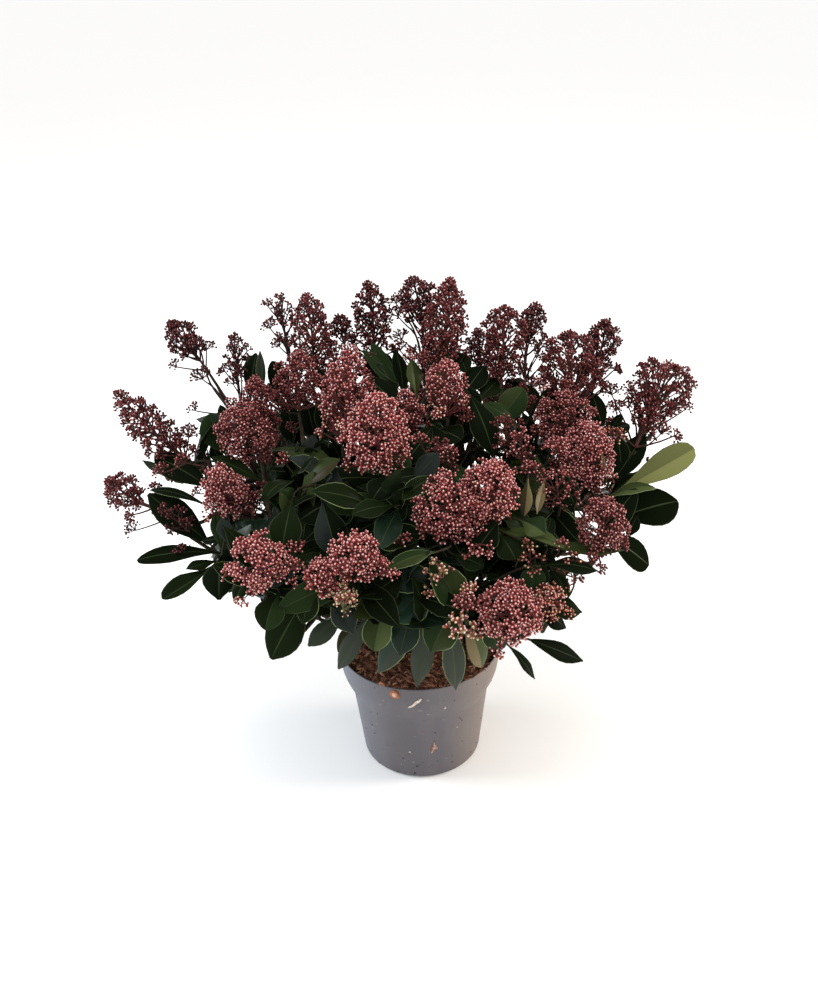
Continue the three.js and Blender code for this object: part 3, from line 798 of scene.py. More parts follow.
HEAD_LOW, HEAD_TOP = (np.array([c[i] for c in capsules]) for i in (0, 1))
HEAD_WIDE = np.array([c[2] for c in capsules])
HEAD_FREE = np.where(HEAD_LOW[:, 2:] > 0.43, 0.36, 0.14)     # the share that leaves may hide
LOW_SEEN, LOW_FAR = seen_at(HEAD_LOW + HEAD_FREE * (HEAD_TOP - HEAD_LOW))
TOP_SEEN, TOP_FAR = seen_at(HEAD_TOP - 0.2 * (HEAD_TOP - HEAD_LOW))


def nearest_on(points, low, top):
    """Distance from points to segments, and the share along each segment."""
    way = top - low
    t = ((points[:, None] - low[None]) * way).sum(-1) / np.maximum((way ** 2).sum(-1), 1e-9)
    t = np.clip(t, 0, 1)
    return np.linalg.norm(points[:, None] - (low[None] + t[..., None] * way), axis=-1), t


def clear_of_heads(points, share=0.62, hidden=0.66):
    """Whether leaf points neither stand in a head nor hide one from the front."""
    away, _ = nearest_on(points, HEAD_LOW + 0.25 * (HEAD_TOP - HEAD_LOW), HEAD_TOP)
    if (away < HEAD_WIDE * share).any():
        return False
    at, far = seen_at(points)
    away, t = nearest_on(at, LOW_SEEN, TOP_SEEN)
    head_far = LOW_FAR + t * (TOP_FAR - LOW_FAR)
    wide = HEAD_WIDE * FOCAL / head_far * hidden
    return not ((away < wide) & (far[:, None] < head_far + 0.01)).any()


# bare leafy shoots under the upper heads, which close the crown behind them (mm)
for i, (x, y, z) in enumerate([
        (-190, 20, 395), (-150, 40, 405), (-105, 20, 420), (-108, 62, 428), (-62, 8, 425), (-60, 62, 440),
        (-20, -10, 420), (-14, 42, 440), (28, 0, 425), (30, 52, 440), (70, 0, 420), (72, 52, 430), (112, 10, 415),
        (116, 56, 420), (152, 4, 400), (152, 52, 410), (192, 22, 395), (0, -60, 400), (45, -52, 400),
        (92, -52, 395), (132, -52, 390), (-45, -72, 400), (-90, -52, 405), (-130, -42, 398), (0, 92, 432),
        (60, 96, 420), (-60, 100, 425), (-120, 100, 405), (120, 100, 405)]):
    at = np.array([x, y, z]) * MM
    outward = np.array([x, y, 0]) / 200.0
    add_shoot(f"upper{i}", at, unit(outward * 0.7 + np.array([0, 0, 0.8])), 8, length=80, spread=(20, 100), carries=False)

# bare leafy shoots that fill the crown where no head stands near
CROWN_AT, CROWN = np.array([-0.012, 0.0, 0.270]), np.array([0.290, 0.270, 0.225])
rng = rng_for("fill")
for i in range(9000):
    d = unit(rng.normal(size=3))
    share = rng.uniform(0.30, 0.90) ** 0.6 * 0.95
    at = CROWN_AT + d * CROWN * share
    if at[2] < 0.225 or (at[2] < 0.27 and math.hypot(at[0], at[1]) < 0.10):
        continue
    if at[1] < 0.06 and share > 0.78 and at[2] < 0.38:
        continue
    near = min(np.linalg.norm(at - q["at"]) for q in shoots if q["leaves"])
    if near < 0.038:
        continue
    place, _ = seen_at(at[None])
    if not within(LEAF_EDGE, place)[0] or not clear_of_heads(at[None], 0.95, 0.2):
        continue
    outward = d * np.array([1, 1, 0.5])
    add_shoot(f"fill{i}", at, unit(outward * share + np.array([0, 0, 0.55])), 7, length=84,
              spread=(24, 104), carries=False)


# -------------------------------------------------------------------- leaves
# how finely a leaf is made: stations along it, then across its upper and
# its lower face. E is its pale edge, R its midrib.
FINE = (np.array([0, 0.045, 0.11, 0.20, 0.32, 0.45, 0.58, 0.70, 0.81, 0.90, 0.965, 1.0]),
        np.array([-1, -0.955, -0.62, -0.30, -0.038, 0.038, 0.30, 0.62, 0.955, 1]), "EBBBRBBBE",
        np.array([-1, -0.55, -0.06, 0.0, 0.06, 0.55, 1]))
MEDIUM = (np.array([0, 0.06, 0.18, 0.34, 0.50, 0.65, 0.79, 0.90, 0.97, 1.0]),
          np.array([-1, -0.95, -0.5, -0.04, 0.04, 0.5, 0.95, 1]), "EBBRBBE",
          np.array([-1, -0.5, 0.0, 0.5, 1]))
COARSE = (np.array([0, 0.07, 0.24, 0.44, 0.64, 0.82, 0.94, 1.0]),
          np.array([-1, -0.94, -0.04, 0.04, 0.94, 1]), "EBRBE",
          np.array([-1, 0.0, 1]))
leaves = []     # (points, quads, slots, part)


def leaf(at, to, width, facing, blade="dark", bow=0.08, fold=0.24, cup=0.30, roll=0.0, twist=0.0, side=0.0,
         point=0.62, wave=0.5, edge="margin", under=None, hook=0.0, rng=None, part=None, widest=0.60, shades=(),
         high=None, rib=None, made=FINE, keep=True, plump=1.15):
    """One leaf from its base to its tip, with its upper face turned to facing."""
    at, to = np.asarray(at, float), np.asarray(to, float)
    length = float(np.linalg.norm(to - at))
    x = (to - at) / length
    z = unit(np.asarray(facing, float) - (np.asarray(facing) @ x) * x)
    y = np.cross(z, x)
    if roll:
        z, y = z * math.cos(roll) - y * math.sin(roll), y * math.cos(roll) + z * math.sin(roll)
    s, across_top, letters, across_low = made
    q = math.log(0.5) / math.log(widest)
    sine = np.sin(math.pi * np.clip(s, 0, 1) ** q)
    half = 0.5 * width * np.where(s < widest, np.maximum(sine, 0) ** plump, np.maximum(sine, 0) ** point)
    half = np.maximum(half, np.where(s < 0.3, 1.2 * MM, 0.0))
    half[-1] = 0.05 * width
    rise = bow * length * 4 * s * (1 - s) - hook * length * np.maximum(s - 0.6, 0) ** 2 * 2.2
    drift = side * length * 4 * s * (1 - s)
    slope = np.gradient(rise, s * length)
    ahead = unit(x + slope[:, None] * z)
    normal = unit(z - slope[:, None] * x)
    turn = twist * (s - 0.4)
    across = y * np.cos(turn)[:, None] + normal * np.sin(turn)[:, None]
    normal = np.cross(ahead, across)
    middle = at + x * (s * length)[:, None] + z * rise[:, None] + y * drift[:, None]
    if keep is not True:    # only asked whether there is room for it
        k = len(s)
        pick_ = [k // 3, k // 2, (2 * k) // 3, k - 3, k - 1]
        m, c, h = middle[pick_], across[pick_], half[pick_, None]
        return keep(np.concatenate([m, m + c * h, m - c * h]))
    phase, waves = rng.uniform(0, 6.28, 2), rng.uniform(1.2, 2.4)

    def surface(sideways, under_side):
        w = np.abs(sideways)[None]
        h = half[:, None]
        lift = h * (fold * w - cup * w ** 2)
        sign = np.where(sideways < 0, 0, 1)
        lift = lift + wave * MM * np.sin(6.28 * waves * s[:, None] + phase[sign][None]) * w ** 2 * np.sqrt(h / (0.5 * width + 1e-9))
        if not under_side:
            lift = lift - np.where(w < 0.1, 0.35 * MM, 0) * (h > 2 * MM)
        else:
            thick = np.where(w > 0.99, 0, np.where(w < 0.02, 1.35, np.where(w < 0.1, 0.6, 0.42))) * MM
            lift = lift - thick * np.minimum(1, h / (4 * MM))
        spreadout = h * sideways[None] * np.sqrt(np.maximum(0.2, 1 - (fold - cup) ** 2 * w ** 2))
        return middle[:, None] + across[:, None] * spreadout[..., None] + normal[:, None] * lift[..., None]

    top, low = surface(across_top, False), surface(across_low, True)
    n = len(s)

    def grid(width_points, flip, first):
        index = first + np.arange(n * width_points).reshape(n, width_points)
        a, b, c, d = index[:-1, :-1], index[1:, :-1], index[1:, 1:], index[:-1, 1:]
        return np.stack([a, b, c, d] if flip else [a, d, c, b], -1)

    top_faces, low_faces = grid(len(across_top), True, 0), grid(len(across_low), False, n * len(across_top))
    blade_slot = B[blade]
    edge_slot = MARGIN_BRIGHT if edge == "bright" else MARGIN if edge == "margin" else blade_slot
    slots = np.tile([{"E": edge_slot, "B": blade_slot, "R": B[rib] if rib else RIB}[c] for c in letters], (n - 1, 1))
    strip, station = (across_top[:-1] + across_top[1:]) / 2, (s[:-1] + s[1:]) / 2
    if high:        # one half of the blade is another colour: painted light on one side of the midrib's fold, painted shade on the other
        slots[:, (strip > 0.1) & (strip < 0.9)] = B[high]
    for share, blade_there in shades:   # so is the rest of it beyond some share of its length
        far = (station[:, None] + 0.22 * strip[None] ** 2 > share) & (np.abs(strip)[None] < 0.94)
        far &= (np.abs(strip)[None] > 0.1) | (rib is not None)
        slots[far] = B[blade_there]
    low_slot = UNDER if under is None else UNDER_PALE if under == "pale" else B[under]
    leaves.append((np.concatenate([top.reshape(-1, 3), low.reshape(-1, 3)]),
                   np.concatenate([top_faces.reshape(-1, 4), low_faces.reshape(-1, 4)]),
                   np.concatenate([slots.ravel(), np.full(low_faces.shape[0] * low_faces.shape[1], low_slot)]),
                   part_of(at) if part is None else part))


def has_room(points):
    """Whether a leaf stays in the crown's outline, off the pot and off the heads."""
    if points[:, 2].min() < 0.178:
        return False
    if (points.max(0) > (0.322, 0.309, 0.59)).any() or (points.min(0) < (-0.350, -0.285, 0)).any():
        return False
    places, _ = seen_at(points)
    return bool(within(LEAF_EDGE, places).all()) and clear_of_heads(points)


BLADE_ODDS = (("night", 6), ("dark", 7), ("green", 3.5), ("bottle", 2.5), ("slate", 2), ("olive", 1.6), ("moss", 0.5), ("grey", 0.5))
# the leaves under the upper heads draw the darkest blades more often: painted shade inside the crown
INNER_SHADE_ODDS = (("night", 9), ("dark", 5), ("green", 1), ("bottle", 1))


def whorl(shoot):
    """The ring of leaves under a flower head or at the top of a bare shoot."""
    rng = rng_for("leaves " + shoot["name"])
    n, a, at = shoot["leaves"], shoot["way"], shoot["at"]
    u, v = (q[0] for q in frames(a))
    tints = pick(rng, INNER_SHADE_ODDS if shoot["name"].startswith("upper") else BLADE_ODDS, n)
    first = rng.uniform(0, 6.28)
    made = MEDIUM if shoot["carries"] and at[1] < 0.12 else COARSE
    for i in range(n):
        f = (i + 0.5) / n
        for attempt in range(9):
            turn = first + i * GOLDEN + rng.normal(0, 0.12 + 0.12 * attempt)
            radial = u * math.cos(turn) + v * math.sin(turn)
            angle = math.radians(np.interp(f, [0, 1], shoot["spread"]) + rng.normal(0, 7 + 2 * attempt))
            way = a * math.cos(angle) + radial * math.sin(angle)
            way = unit(way + np.array([0, 0, -0.08 - 0.12 * f + 0.05 * attempt]))
            length = shoot["length"] * MM * rng.uniform(0.80, 1.12) * (1 if f > 0.3 else 0.88) * (1 - 0.035 * attempt)
            base = at - a * (2 + 16 * f) * MM + radial * 1.6 * MM
            facing = unit(a * 0.9 + np.array([0, 0, 0.5]) - radial * 0.1)
            shape = dict(bow=rng.uniform(0.03, 0.14), fold=rng.uniform(0.16, 0.40), cup=rng.uniform(0.18, 0.40),
                         roll=rng.normal(0, 0.26), twist=rng.normal(0, 0.5), side=rng.normal(0, 0.035),
                         point=rng.uniform(0.58, 0.98), wave=rng.uniform(0.6, 2.0), hook=rng.uniform(-0.05, 0.18),
                         widest=rng.uniform(0.54, 0.65), plump=rng.uniform(0.9, 1.25))
            width = length * rng.uniform(0.32, 0.41)
            if leaf(base, base + way * length, width, facing, made=COARSE, keep=has_room, **shape):
                leaf(base, base + way * length, width, facing, tints[i], edge="bright" if rng.uniform() < 0.12 else "margin",
                     rng=rng, part=part_of(at), made=made, **shape)
                break


for shoot in shoots:
    if shoot["leaves"]:
        whorl(shoot)

# where the sky shows through the crown
SKY = np.array([
    (466, 453), (463, 466), (469, 458), (478, 581), (473, 585), (514, 566), (516, 560), (560, 555), (568, 556), (577, 555),
    (587, 555), (580, 513), (588, 517), (584, 527), (271, 509), (265, 504), (288, 455), (209, 522), (207, 530), (194, 500),
    (468, 450), (471, 455), (465, 457), (467, 463), (640, 461), (643, 464), (633, 478), (637, 486), (314, 620), (310, 630)], float)


def covers(points, quads):
    """Whether a leaf hides a place where the sky shows through."""
    corners = seen_at(points)[0][quads]
    low, high = corners.min((0, 1)) - 1, corners.max((0, 1)) + 1
    for place in SKY[((SKY > low) & (SKY < high)).all(1)]:
        side = np.roll(corners, -1, 1) - corners
        to = place - corners
        turn = side[..., 0] * to[..., 1] - side[..., 1] * to[..., 0]
        if ((turn > -1).all(1) | (turn < 1).all(1)).any():
            return True
    return False


leaves = [one for one in leaves if not covers(one[0], one[1])]

# Leaves with a place of their own: base (px, py, y), tip (px, py, y), width in
# mm, how far it faces the front against the sky, then what differs.
PLACED = [
    ("r1", (612, 495, -.06), (694, 448, -.04), 32, .9, dict(blade="lime", high="fern", rib="fern", point=.40, widest=.70, plump=.7, fold=.34, cup=.14, bow=.04, roll=.35)),
    ("r2", (616, 519, -.07), (678, 501, -.05), 48, .9, dict(blade="ink", point=.60, plump=.9, bow=.06, edge="margin")),
    ("r3", (602, 532, -.12), (649, 565, -.11), 35, .9, dict(blade="ink", point=.45, widest=.66, plump=.8, bow=.04)),
    ("r5", (608, 490, -.03), (645, 434, .00), 27, 1.5, dict(blade="night", edge="margin", point=.70, bow=.05)),
    ("r6", (540, 566, -.20), (598, 571, -.20), 24, .25, dict(blade="night", point=1.0, bow=.10)),
    ("r7", (530, 540, -.19), (624, 550, -.15), 18, .35, dict(blade="olive", point=1.0, bow=-.03)),
    ("r8", (540, 606, -.20), (582, 612, -.20), 26, .6, dict(blade="dark", point=1.1)),
    ("r9", (528, 639, -.20), (583, 661, -.20), 22, .5, dict(blade="night", point=.9, plump=.7, bow=.02, under="slate")),
    ("r10", (508, 645, -.20), (535, 679, -.20), 13, .4, dict(blade="dark", point=1.0, plump=.8, bow=.06)),
    ("r11", (545, 582, -.19), (566, 572, -.18), 20, .8, dict(blade="green", point=.9)),
    ("r12", (530, 606, -.20), (566, 628, -.20), 24, .5, dict(blade="night", point=.9)),
    ("r13", (598, 440, -.01), (629, 424, .01), 26, .3, dict(blade="dark", point=.7, bow=.1)),
    ("r14", (604, 436, .00), (592, 393, .02), 20, 1.2, dict(blade="night", point=.55)),
    ("r15", (604, 500, -.09), (656, 484, -.07), 18, .6, dict(blade="moss", high="olive", point=.6, bow=.08, roll=-.2, hook=.25, edge="bright")),
    ("r16", (545, 556, -.19), (534, 590, -.20), 22, .9, dict(blade="dark", point=.8, bow=.08)),
    ("r17", (556, 470, -.10), (575, 505, -.12), 24, .8, dict(blade="night", point=.8, bow=.08)),
    ("l1", (222, 553, -.12), (137, 560, -.12), 26, .30, dict(blade="ink", point=.42, widest=.62, plump=.9, bow=.07)),
    ("l2", (218, 562, -.13), (162, 599, -.16), 25, .5, dict(blade="dark", point=.42, widest=.66, bow=-.03, fold=.5, cup=.1)),
    ("l3", (222, 556, -.14), (219, 600, -.19), 34, .8, dict(blade="night", point=.85, bow=.14)),
    ("l4", (211, 545, -.08), (148, 494, -.05), 35, .9, dict(blade="night", point=.80, plump=.8, bow=.05, fold=.30)),
    ("l5", (210, 488, -.04), (155, 456, -.01), 34, .7, dict(blade="night", point=.60, plump=.8, bow=.06)),
    ("l6", (176, 482, -.03), (142, 460, -.01), 11, .4, dict(blade="grey", point=1.1, bow=.04)),
    ("l7", (238, 428, -.01), (196, 419, .02), 18, .3, dict(blade="slate", point=1.0, bow=.08)),
    ("l8", (228, 458, -.02), (209, 414, -.01), 36, 1.1, dict(blade="bottle", high="green", point=.50, bow=.06)),
    ("l9", (250, 402, .05), (256, 353, .06), 27, 1.4, dict(blade="night", point=.75, bow=.04, roll=-.4)),
    ("l9b", (262, 402, .04), (260, 351, .05), 11, 1.2, dict(blade="grey", point=.8, bow=.02, edge="bright")),
    ("l10", (288, 402, .06), (272, 361, .07), 24, 1.0, dict(blade="night", point=.6, bow=.1)),
    ("l11", (280, 592, -.20), (265, 630, -.23), 30, .7, dict(blade="dark", high="green", point=.55, bow=.20)),
    ("l12", (308, 592, -.18), (271, 659, -.20), 40, 1.2, dict(blade="dark", point=.75, plump=.9, bow=.05)),
    ("l13", (316, 580, -.20), (303, 624, -.22), 24, .9, dict(blade="dark", point=.9, bow=.14, edge="bright")),
    ("l14", (347, 613, -.20), (308, 646, -.22), 21, .9, dict(blade="grey", point=.80, bow=.05)),
    ("l15", (253, 570, -.18), (234, 603, -.20), 16, .5, dict(blade="dark", point=.8, bow=.10)),
    ("l16", (222, 552, -.12), (216, 512, -.09), 16, .9, dict(blade="green", point=.8)),
    ("l17", (228, 545, -.14), (222, 518, -.13), 16, .9, dict(blade="slate", point=.8)),
    ("l18", (262, 482, -.10), (212, 457, -.09), 22, .5, dict(blade="dark", point=.9, bow=.06)),
    ("l19", (330, 590, -.19), (353, 633, -.21), 27, .9, dict(blade="slate", point=.9, bow=.08, edge="bright")),
    ("l20", (218, 561, -.12), (186, 569, -.14), 16, .4, dict(blade="dark", point=.9, bow=.05)),
    ("l21", (226, 540, -.11), (202, 541, -.10), 12, .6, dict(blade="night", point=.9, bow=.05)),
    ("l22", (209, 507, -.07), (150, 490, -.05), 13, .5, dict(blade="night", point=.8, bow=.12, edge="bright")),
    ("p1", (374, 612, -.16), (338, 669, -.15), 22, 1.0, dict(blade="grey", point=.80, plump=.8, bow=.05)),
    ("p2", (388, 594, -.18), (374, 651, -.20), 30, 1.1, dict(blade="olive", high="moss", rib="moss", point=.66, bow=.13, fold=.50, edge="bright", widest=.62, wave=2.6)),
    ("p3", (424, 608, -.17), (378, 673, -.15), 27, 1.2, dict(blade="teal", high="grey", rib="grey", point=.95, plump=.8, bow=.06, edge="bright", widest=.56, wave=1.4)),
    ("p4", (430, 616, -.16), (417, 687, -.14), 24, 1.3, dict(blade="grey", point=1.0, plump=.8, bow=.04, edge="margin", widest=.54, wave=1.4)),
    ("p5", (450, 622, -.16), (456, 690, -.13), 25, 1.3, dict(blade="grey", rib="moss", point=1.0, plump=.8, bow=.05, edge="bright", widest=.52, wave=1.6)),
    ("p6", (462, 612, -.16), (482, 667, -.13), 24, 1.2, dict(blade="khaki", high="moss", rib="khaki", point=.60, plump=.9, bow=.07)),
    ("p7", (462, 596, -.20), (431, 652, -.21), 38, 1.0, dict(blade="green", high="olive", point=1.05, plump=.8, bow=.12, edge="bright", fold=.4, wave=2.6)),
    ("p8", (436, 580, -.18), (394, 622, -.20), 42, 1.0, dict(blade="teal", point=.85, bow=.14, edge="bright", wave=2.2)),
    ("p9", (428, 556, -.19), (462, 612, -.22), 34, 1.1, dict(blade="green", high="olive", point=.85, plump=.8, bow=.16, fold=.55, edge="bright", wave=2.4)),
    ("p9b", (436, 552, -.224), (388, 568, -.245), 17, .9, dict(blade="green", high="olive", rib="moss", point=.8, bow=.12, edge="bright", wave=2.0)),
    ("p10", (402, 588, -.20), (357, 610, -.22), 24, .9, dict(blade="olive", point=.8, bow=.10, edge="bright")),
    ("p11", (404, 574, -.19), (372, 596, -.21), 34, .9, dict(blade="dark", point=.8, bow=.10)),
    ("p12", (488, 606, -.20), (496, 650, -.20), 26, .7, dict(blade="green", point=.8, bow=.10, edge="bright")),
    ("p13", (415, 600, -.17), (400, 655, -.19), 30, 1.1, dict(blade="bottle", point=.8, bow=.10, edge="bright")),
    ("c1", (416, 398, -.01), (412, 360, .01), 19, 1.4, dict(blade="olive", high="moss", point=.6, bow=.05, roll=.5)),
    ("c2", (400, 402, .00), (363, 350, .03), 24, 1.0, dict(blade="green", point=.65, plump=.9, bow=.12, roll=.5)),
    ("c2b", (398, 400, .01), (372, 343, .04), 20, .9, dict(blade="green", point=.7, bow=.05, roll=-.3)),
    ("c2c", (404, 402, .00), (396, 350, .05), 22, .9, dict(blade="night", point=.8, bow=.05, roll=.6)),
    ("c2d", (398, 408, -.02), (366, 378, .00), 26, .6, dict(blade="night", point=.8, bow=.10)),
    ("c2e", (440, 392, -.01), (440, 346, .03), 24, .9, dict(blade="olive", point=.8, bow=.05)),
    ("c2f", (462, 398, .00), (484, 366, .03), 28, .9, dict(blade="night", point=.7, bow=.05)),
    ("c2g", (478, 402, .00), (500, 378, .03), 26, .9, dict(blade="dark", point=.7, bow=.05)),
    ("c3", (494, 428, -.04), (524, 388, -.02), 30, 1.0, dict(blade="green", high="olive", point=.6, bow=.08, roll=.3)),
    ("c3b", (520, 430, -.04), (484, 404, -.04), 22, .7, dict(blade="green", point=.9, bow=.12)),
    ("c4", (306, 490, -.14), (340, 459, -.14), 22, .5, dict(blade="peat", high="olive", point=.8, bow=.16)),
    ("c5", (300, 492, -.08), (314, 436, -.06), 26, 1.3, dict(blade="slate", point=.6, plump=.9, bow=.03)),
    ("c6", (410, 484, -.15), (439, 453, -.14), 22, 1.2, dict(blade="slate", point=.8, bow=.03)),
    ("c7", (322, 500, -.18), (337, 555, -.20), 32, 1.2, dict(blade="slate", high="night", point=.6, plump=.9, bow=.06)),
    ("c8", (545, 478, -.12), (537, 514, -.15), 9, 1.2, dict(blade="straw", high="khaki", rib="khaki", point=1.0, bow=.08)),
    ("c9", (528, 478, -.14), (524, 516, -.16), 14, 1.2, dict(blade="peat", high="khaki", rib="peat", point=.8, bow=.08)),
    ("c10", (520, 520, -.17), (546, 534, -.19), 26, .9, dict(blade="moss", high="green", point=1.0, bow=.12)),
    ("c12", (468, 392, -.03), (494, 456, -.08), 30, .9, dict(blade="night", point=.9, bow=.14, edge="margin")),
    ("c13", (378, 510, -.16), (313, 491, -.18), 28, .7, dict(blade="dark", point=.7, bow=.10, edge="bright")),
    ("c14", (294, 512, -.16), (280, 491, -.17), 26, .7, dict(blade="green", high="olive", point=.8, bow=.1, edge="margin")),
    ("c15", (292, 500, -.17), (282, 550, -.20), 32, 1.1, dict(blade="dark", point=.6, bow=.08)),
    ("c16", (442, 476, -.16), (402, 500, -.19), 22, .4, dict(blade="dark", point=.9, bow=.14, edge="bright")),
    ("c17", (410, 502, -.15), (384, 520, -.17), 26, .8, dict(blade="night", point=.9, bow=.1)),
    ("c18", (500, 534, -.18), (516, 560, -.20), 28, .8, dict(blade="dark", point=.8, bow=.1)),
    ("c19", (535, 560, -.19), (532, 590, -.21), 24, .9, dict(blade="green", point=.8, bow=.1)),
    ("c20", (606, 478, -.085), (601, 452, -.085), 5, 1.2, dict(blade="khaki", point=.9, bow=.03)),
    ("c21", (404, 548, -.20), (372, 540, -.21), 22, .6, dict(blade="dark", point=.9, bow=.1, edge="bright")),
    ("c22", (396, 506, -.18), (352, 514, -.20), 22, .7, dict(blade="dark", point=.8, bow=.1)),
    ("c23", (338, 500, -.14), (300, 520, -.16), 34, .9, dict(blade="night", point=.7, bow=.1)),
    ("c24", (500, 520, -.18), (476, 552, -.20), 28, .8, dict(blade="night", point=.7, bow=.1)),
    ("c25", (452, 554, -.19), (484, 567, -.20), 22, .8, dict(blade="dark", point=.8, bow=.1)),
    ("c26", (438, 430, -.06), (462, 440, -.08), 30, .8, dict(blade="night", point=.8, bow=.1)),
    ("c27", (426, 420, -.06), (440, 462, -.09), 36, .8, dict(blade="night", point=.8, bow=.1)),
    ("c28", (392, 476, -.15), (372, 500, -.17), 28, .8, dict(blade="night", point=.8, bow=.1)),
    ("k1", (298, 456, .01), (287, 404, .03), 30, 1.0, dict(blade="night", point=.8, bow=.05)),
    ("k2", (318, 450, .01), (306, 400, .03), 28, 1.0, dict(blade="night", point=.8, bow=.05)),
    ("k3", (334, 446, .00), (322, 399, .02), 28, 1.0, dict(blade="night", point=.8, bow=.05)),
    ("k4", (352, 424, .01), (344, 374, .03), 26, 1.0, dict(blade="dark", point=.8, bow=.05)),
    ("k5", (366, 486, -.06), (362, 444, -.05), 30, 1.0, dict(blade="night", point=.8, bow=.05)),
    ("k6", (452, 436, -.01), (444, 396, .00), 28, 1.0, dict(blade="night", point=.8, bow=.05)),
    ("k7", (476, 424, -.01), (466, 386, .00), 26, 1.0, dict(blade="night", point=.8, bow=.05)),
    ("k8", (532, 420, .01), (526, 384, .03), 26, 1.0, dict(blade="night", point=.8, bow=.05)),
    ("k9", (552, 424, .01), (548, 388, .03), 26, 1.0, dict(blade="dark", point=.8, bow=.05)),
    ("k10", (452, 448, -.03), (474, 428, -.02), 18, .9, dict(blade="night", point=.8, bow=.05)),
    ("k11", (470, 378, .02), (457, 352, .04), 21, .9, dict(blade="dark", point=.8, bow=.05)),
    ("k12", (278, 406, .04), (268, 383, .05), 16, .9, dict(blade="night", point=.8, bow=.05)),
    ("k13", (574, 444, .02), (567, 400, .03), 30, .9, dict(blade="night", point=.8, bow=.05)),
    ("k14", (600, 478, -.03), (590, 436, -.02), 30, .9, dict(blade="ink", point=.8, bow=.05)),
    ("k15", (560, 440, .02), (549, 404, .03), 26, .9, dict(blade="night", point=.8, bow=.05)),
    ("k16", (582, 500, -.06), (590, 460, -.05), 30, .9, dict(blade="ink", point=.8, bow=.05)),
    ("k17", (346, 472, -.02), (333, 444, -.01), 24, .9, dict(blade="night", point=.8, bow=.05)),
    ("k18", (494, 474, -.06), (476, 450, -.05), 18, .9, dict(blade="night", point=.8, bow=.05)),
    ("k19", (330, 402, .02), (319, 370, .04), 15, .9, dict(blade="night", point=.8, bow=.05)),
    ("k20", (224, 468, -.01), (211, 445, .00), 15, .9, dict(blade="night", point=.8, bow=.05)),
    ("k21", (622, 478, -.02), (618, 436, -.01), 22, .9, dict(blade="night", point=.8, bow=.05)),
    ("k22", (352, 618, -.11), (338, 652, -.12), 12, .9, dict(blade="peat", point=.8, bow=.05)),
    ("k23", (626, 540, -.11), (637, 516, -.10), 16, .9, dict(blade="night", point=.8, bow=.05)),
    ("k24", (612, 428, .00), (622, 414, .01), 10, .9, dict(blade="night", point=.8, bow=.05)),
    ("k25", (608, 497, -.03), (635, 475, -.03), 18, .9, dict(blade="night", point=.8, bow=.05)),
    ("k26", (228, 426, .02), (220, 405, .03), 12, .9, dict(blade="night", point=.8, bow=.05)),
    ("k27", (552, 570, -.19), (569, 596, -.20), 15, .9, dict(blade="dark", point=.8, bow=.05)),
    ("k28", (500, 572, -.18), (486, 580, -.19), 8, .9, dict(blade="dark", point=.8, bow=.05)),
    ("k29", (470, 440, -.03), (463, 408, -.02), 14, .9, dict(blade="night", point=.8, bow=.05)),
    ("k30", (500, 458, -.05), (484, 430, -.04), 15, .9, dict(blade="night", point=.8, bow=.05)),
    ("k31", (396, 450, -.02), (382, 408, -.01), 22, .9, dict(blade="ink", point=.8, bow=.05)),
    ("k32", (530, 452, -.02), (524, 414, -.01), 22, .9, dict(blade="ink", point=.8, bow=.05)),
]
UP = np.array([0, 0, 1.0])
FRONT = unit(np.array([0, -1.0, 0.35]))
placed_at = []
for name, b, t, width, front, extra in PLACED:
    at, to = spot(*b), spot(*t)
    leaf(at, to, width * MM, UP + FRONT * front, rng=rng_for(name), **extra)
    placed_at.append((name, at, unit(to - at)))


# ---------------------------------------------------- stems, boughs and twigs
FOOT_LOW, FOOT_HIGH = 0.146, 0.16635
BOUGHS = {
    "bough_front": (-88, 150, 300), "bough_front_right": (-38, 160, 305), "bough_right": (14, 165, 345),
    "bough_back_right": (66, 160, 320), "bough_back_left": (118, 160, 320), "bough_left": (168, 165, 340),
    "bough_front_left": (-140, 160, 310),
}
LEADERS = {"leader_left": (-165, 40, 430), "leader_right": (15, 45, 430)}
bark = Bag()


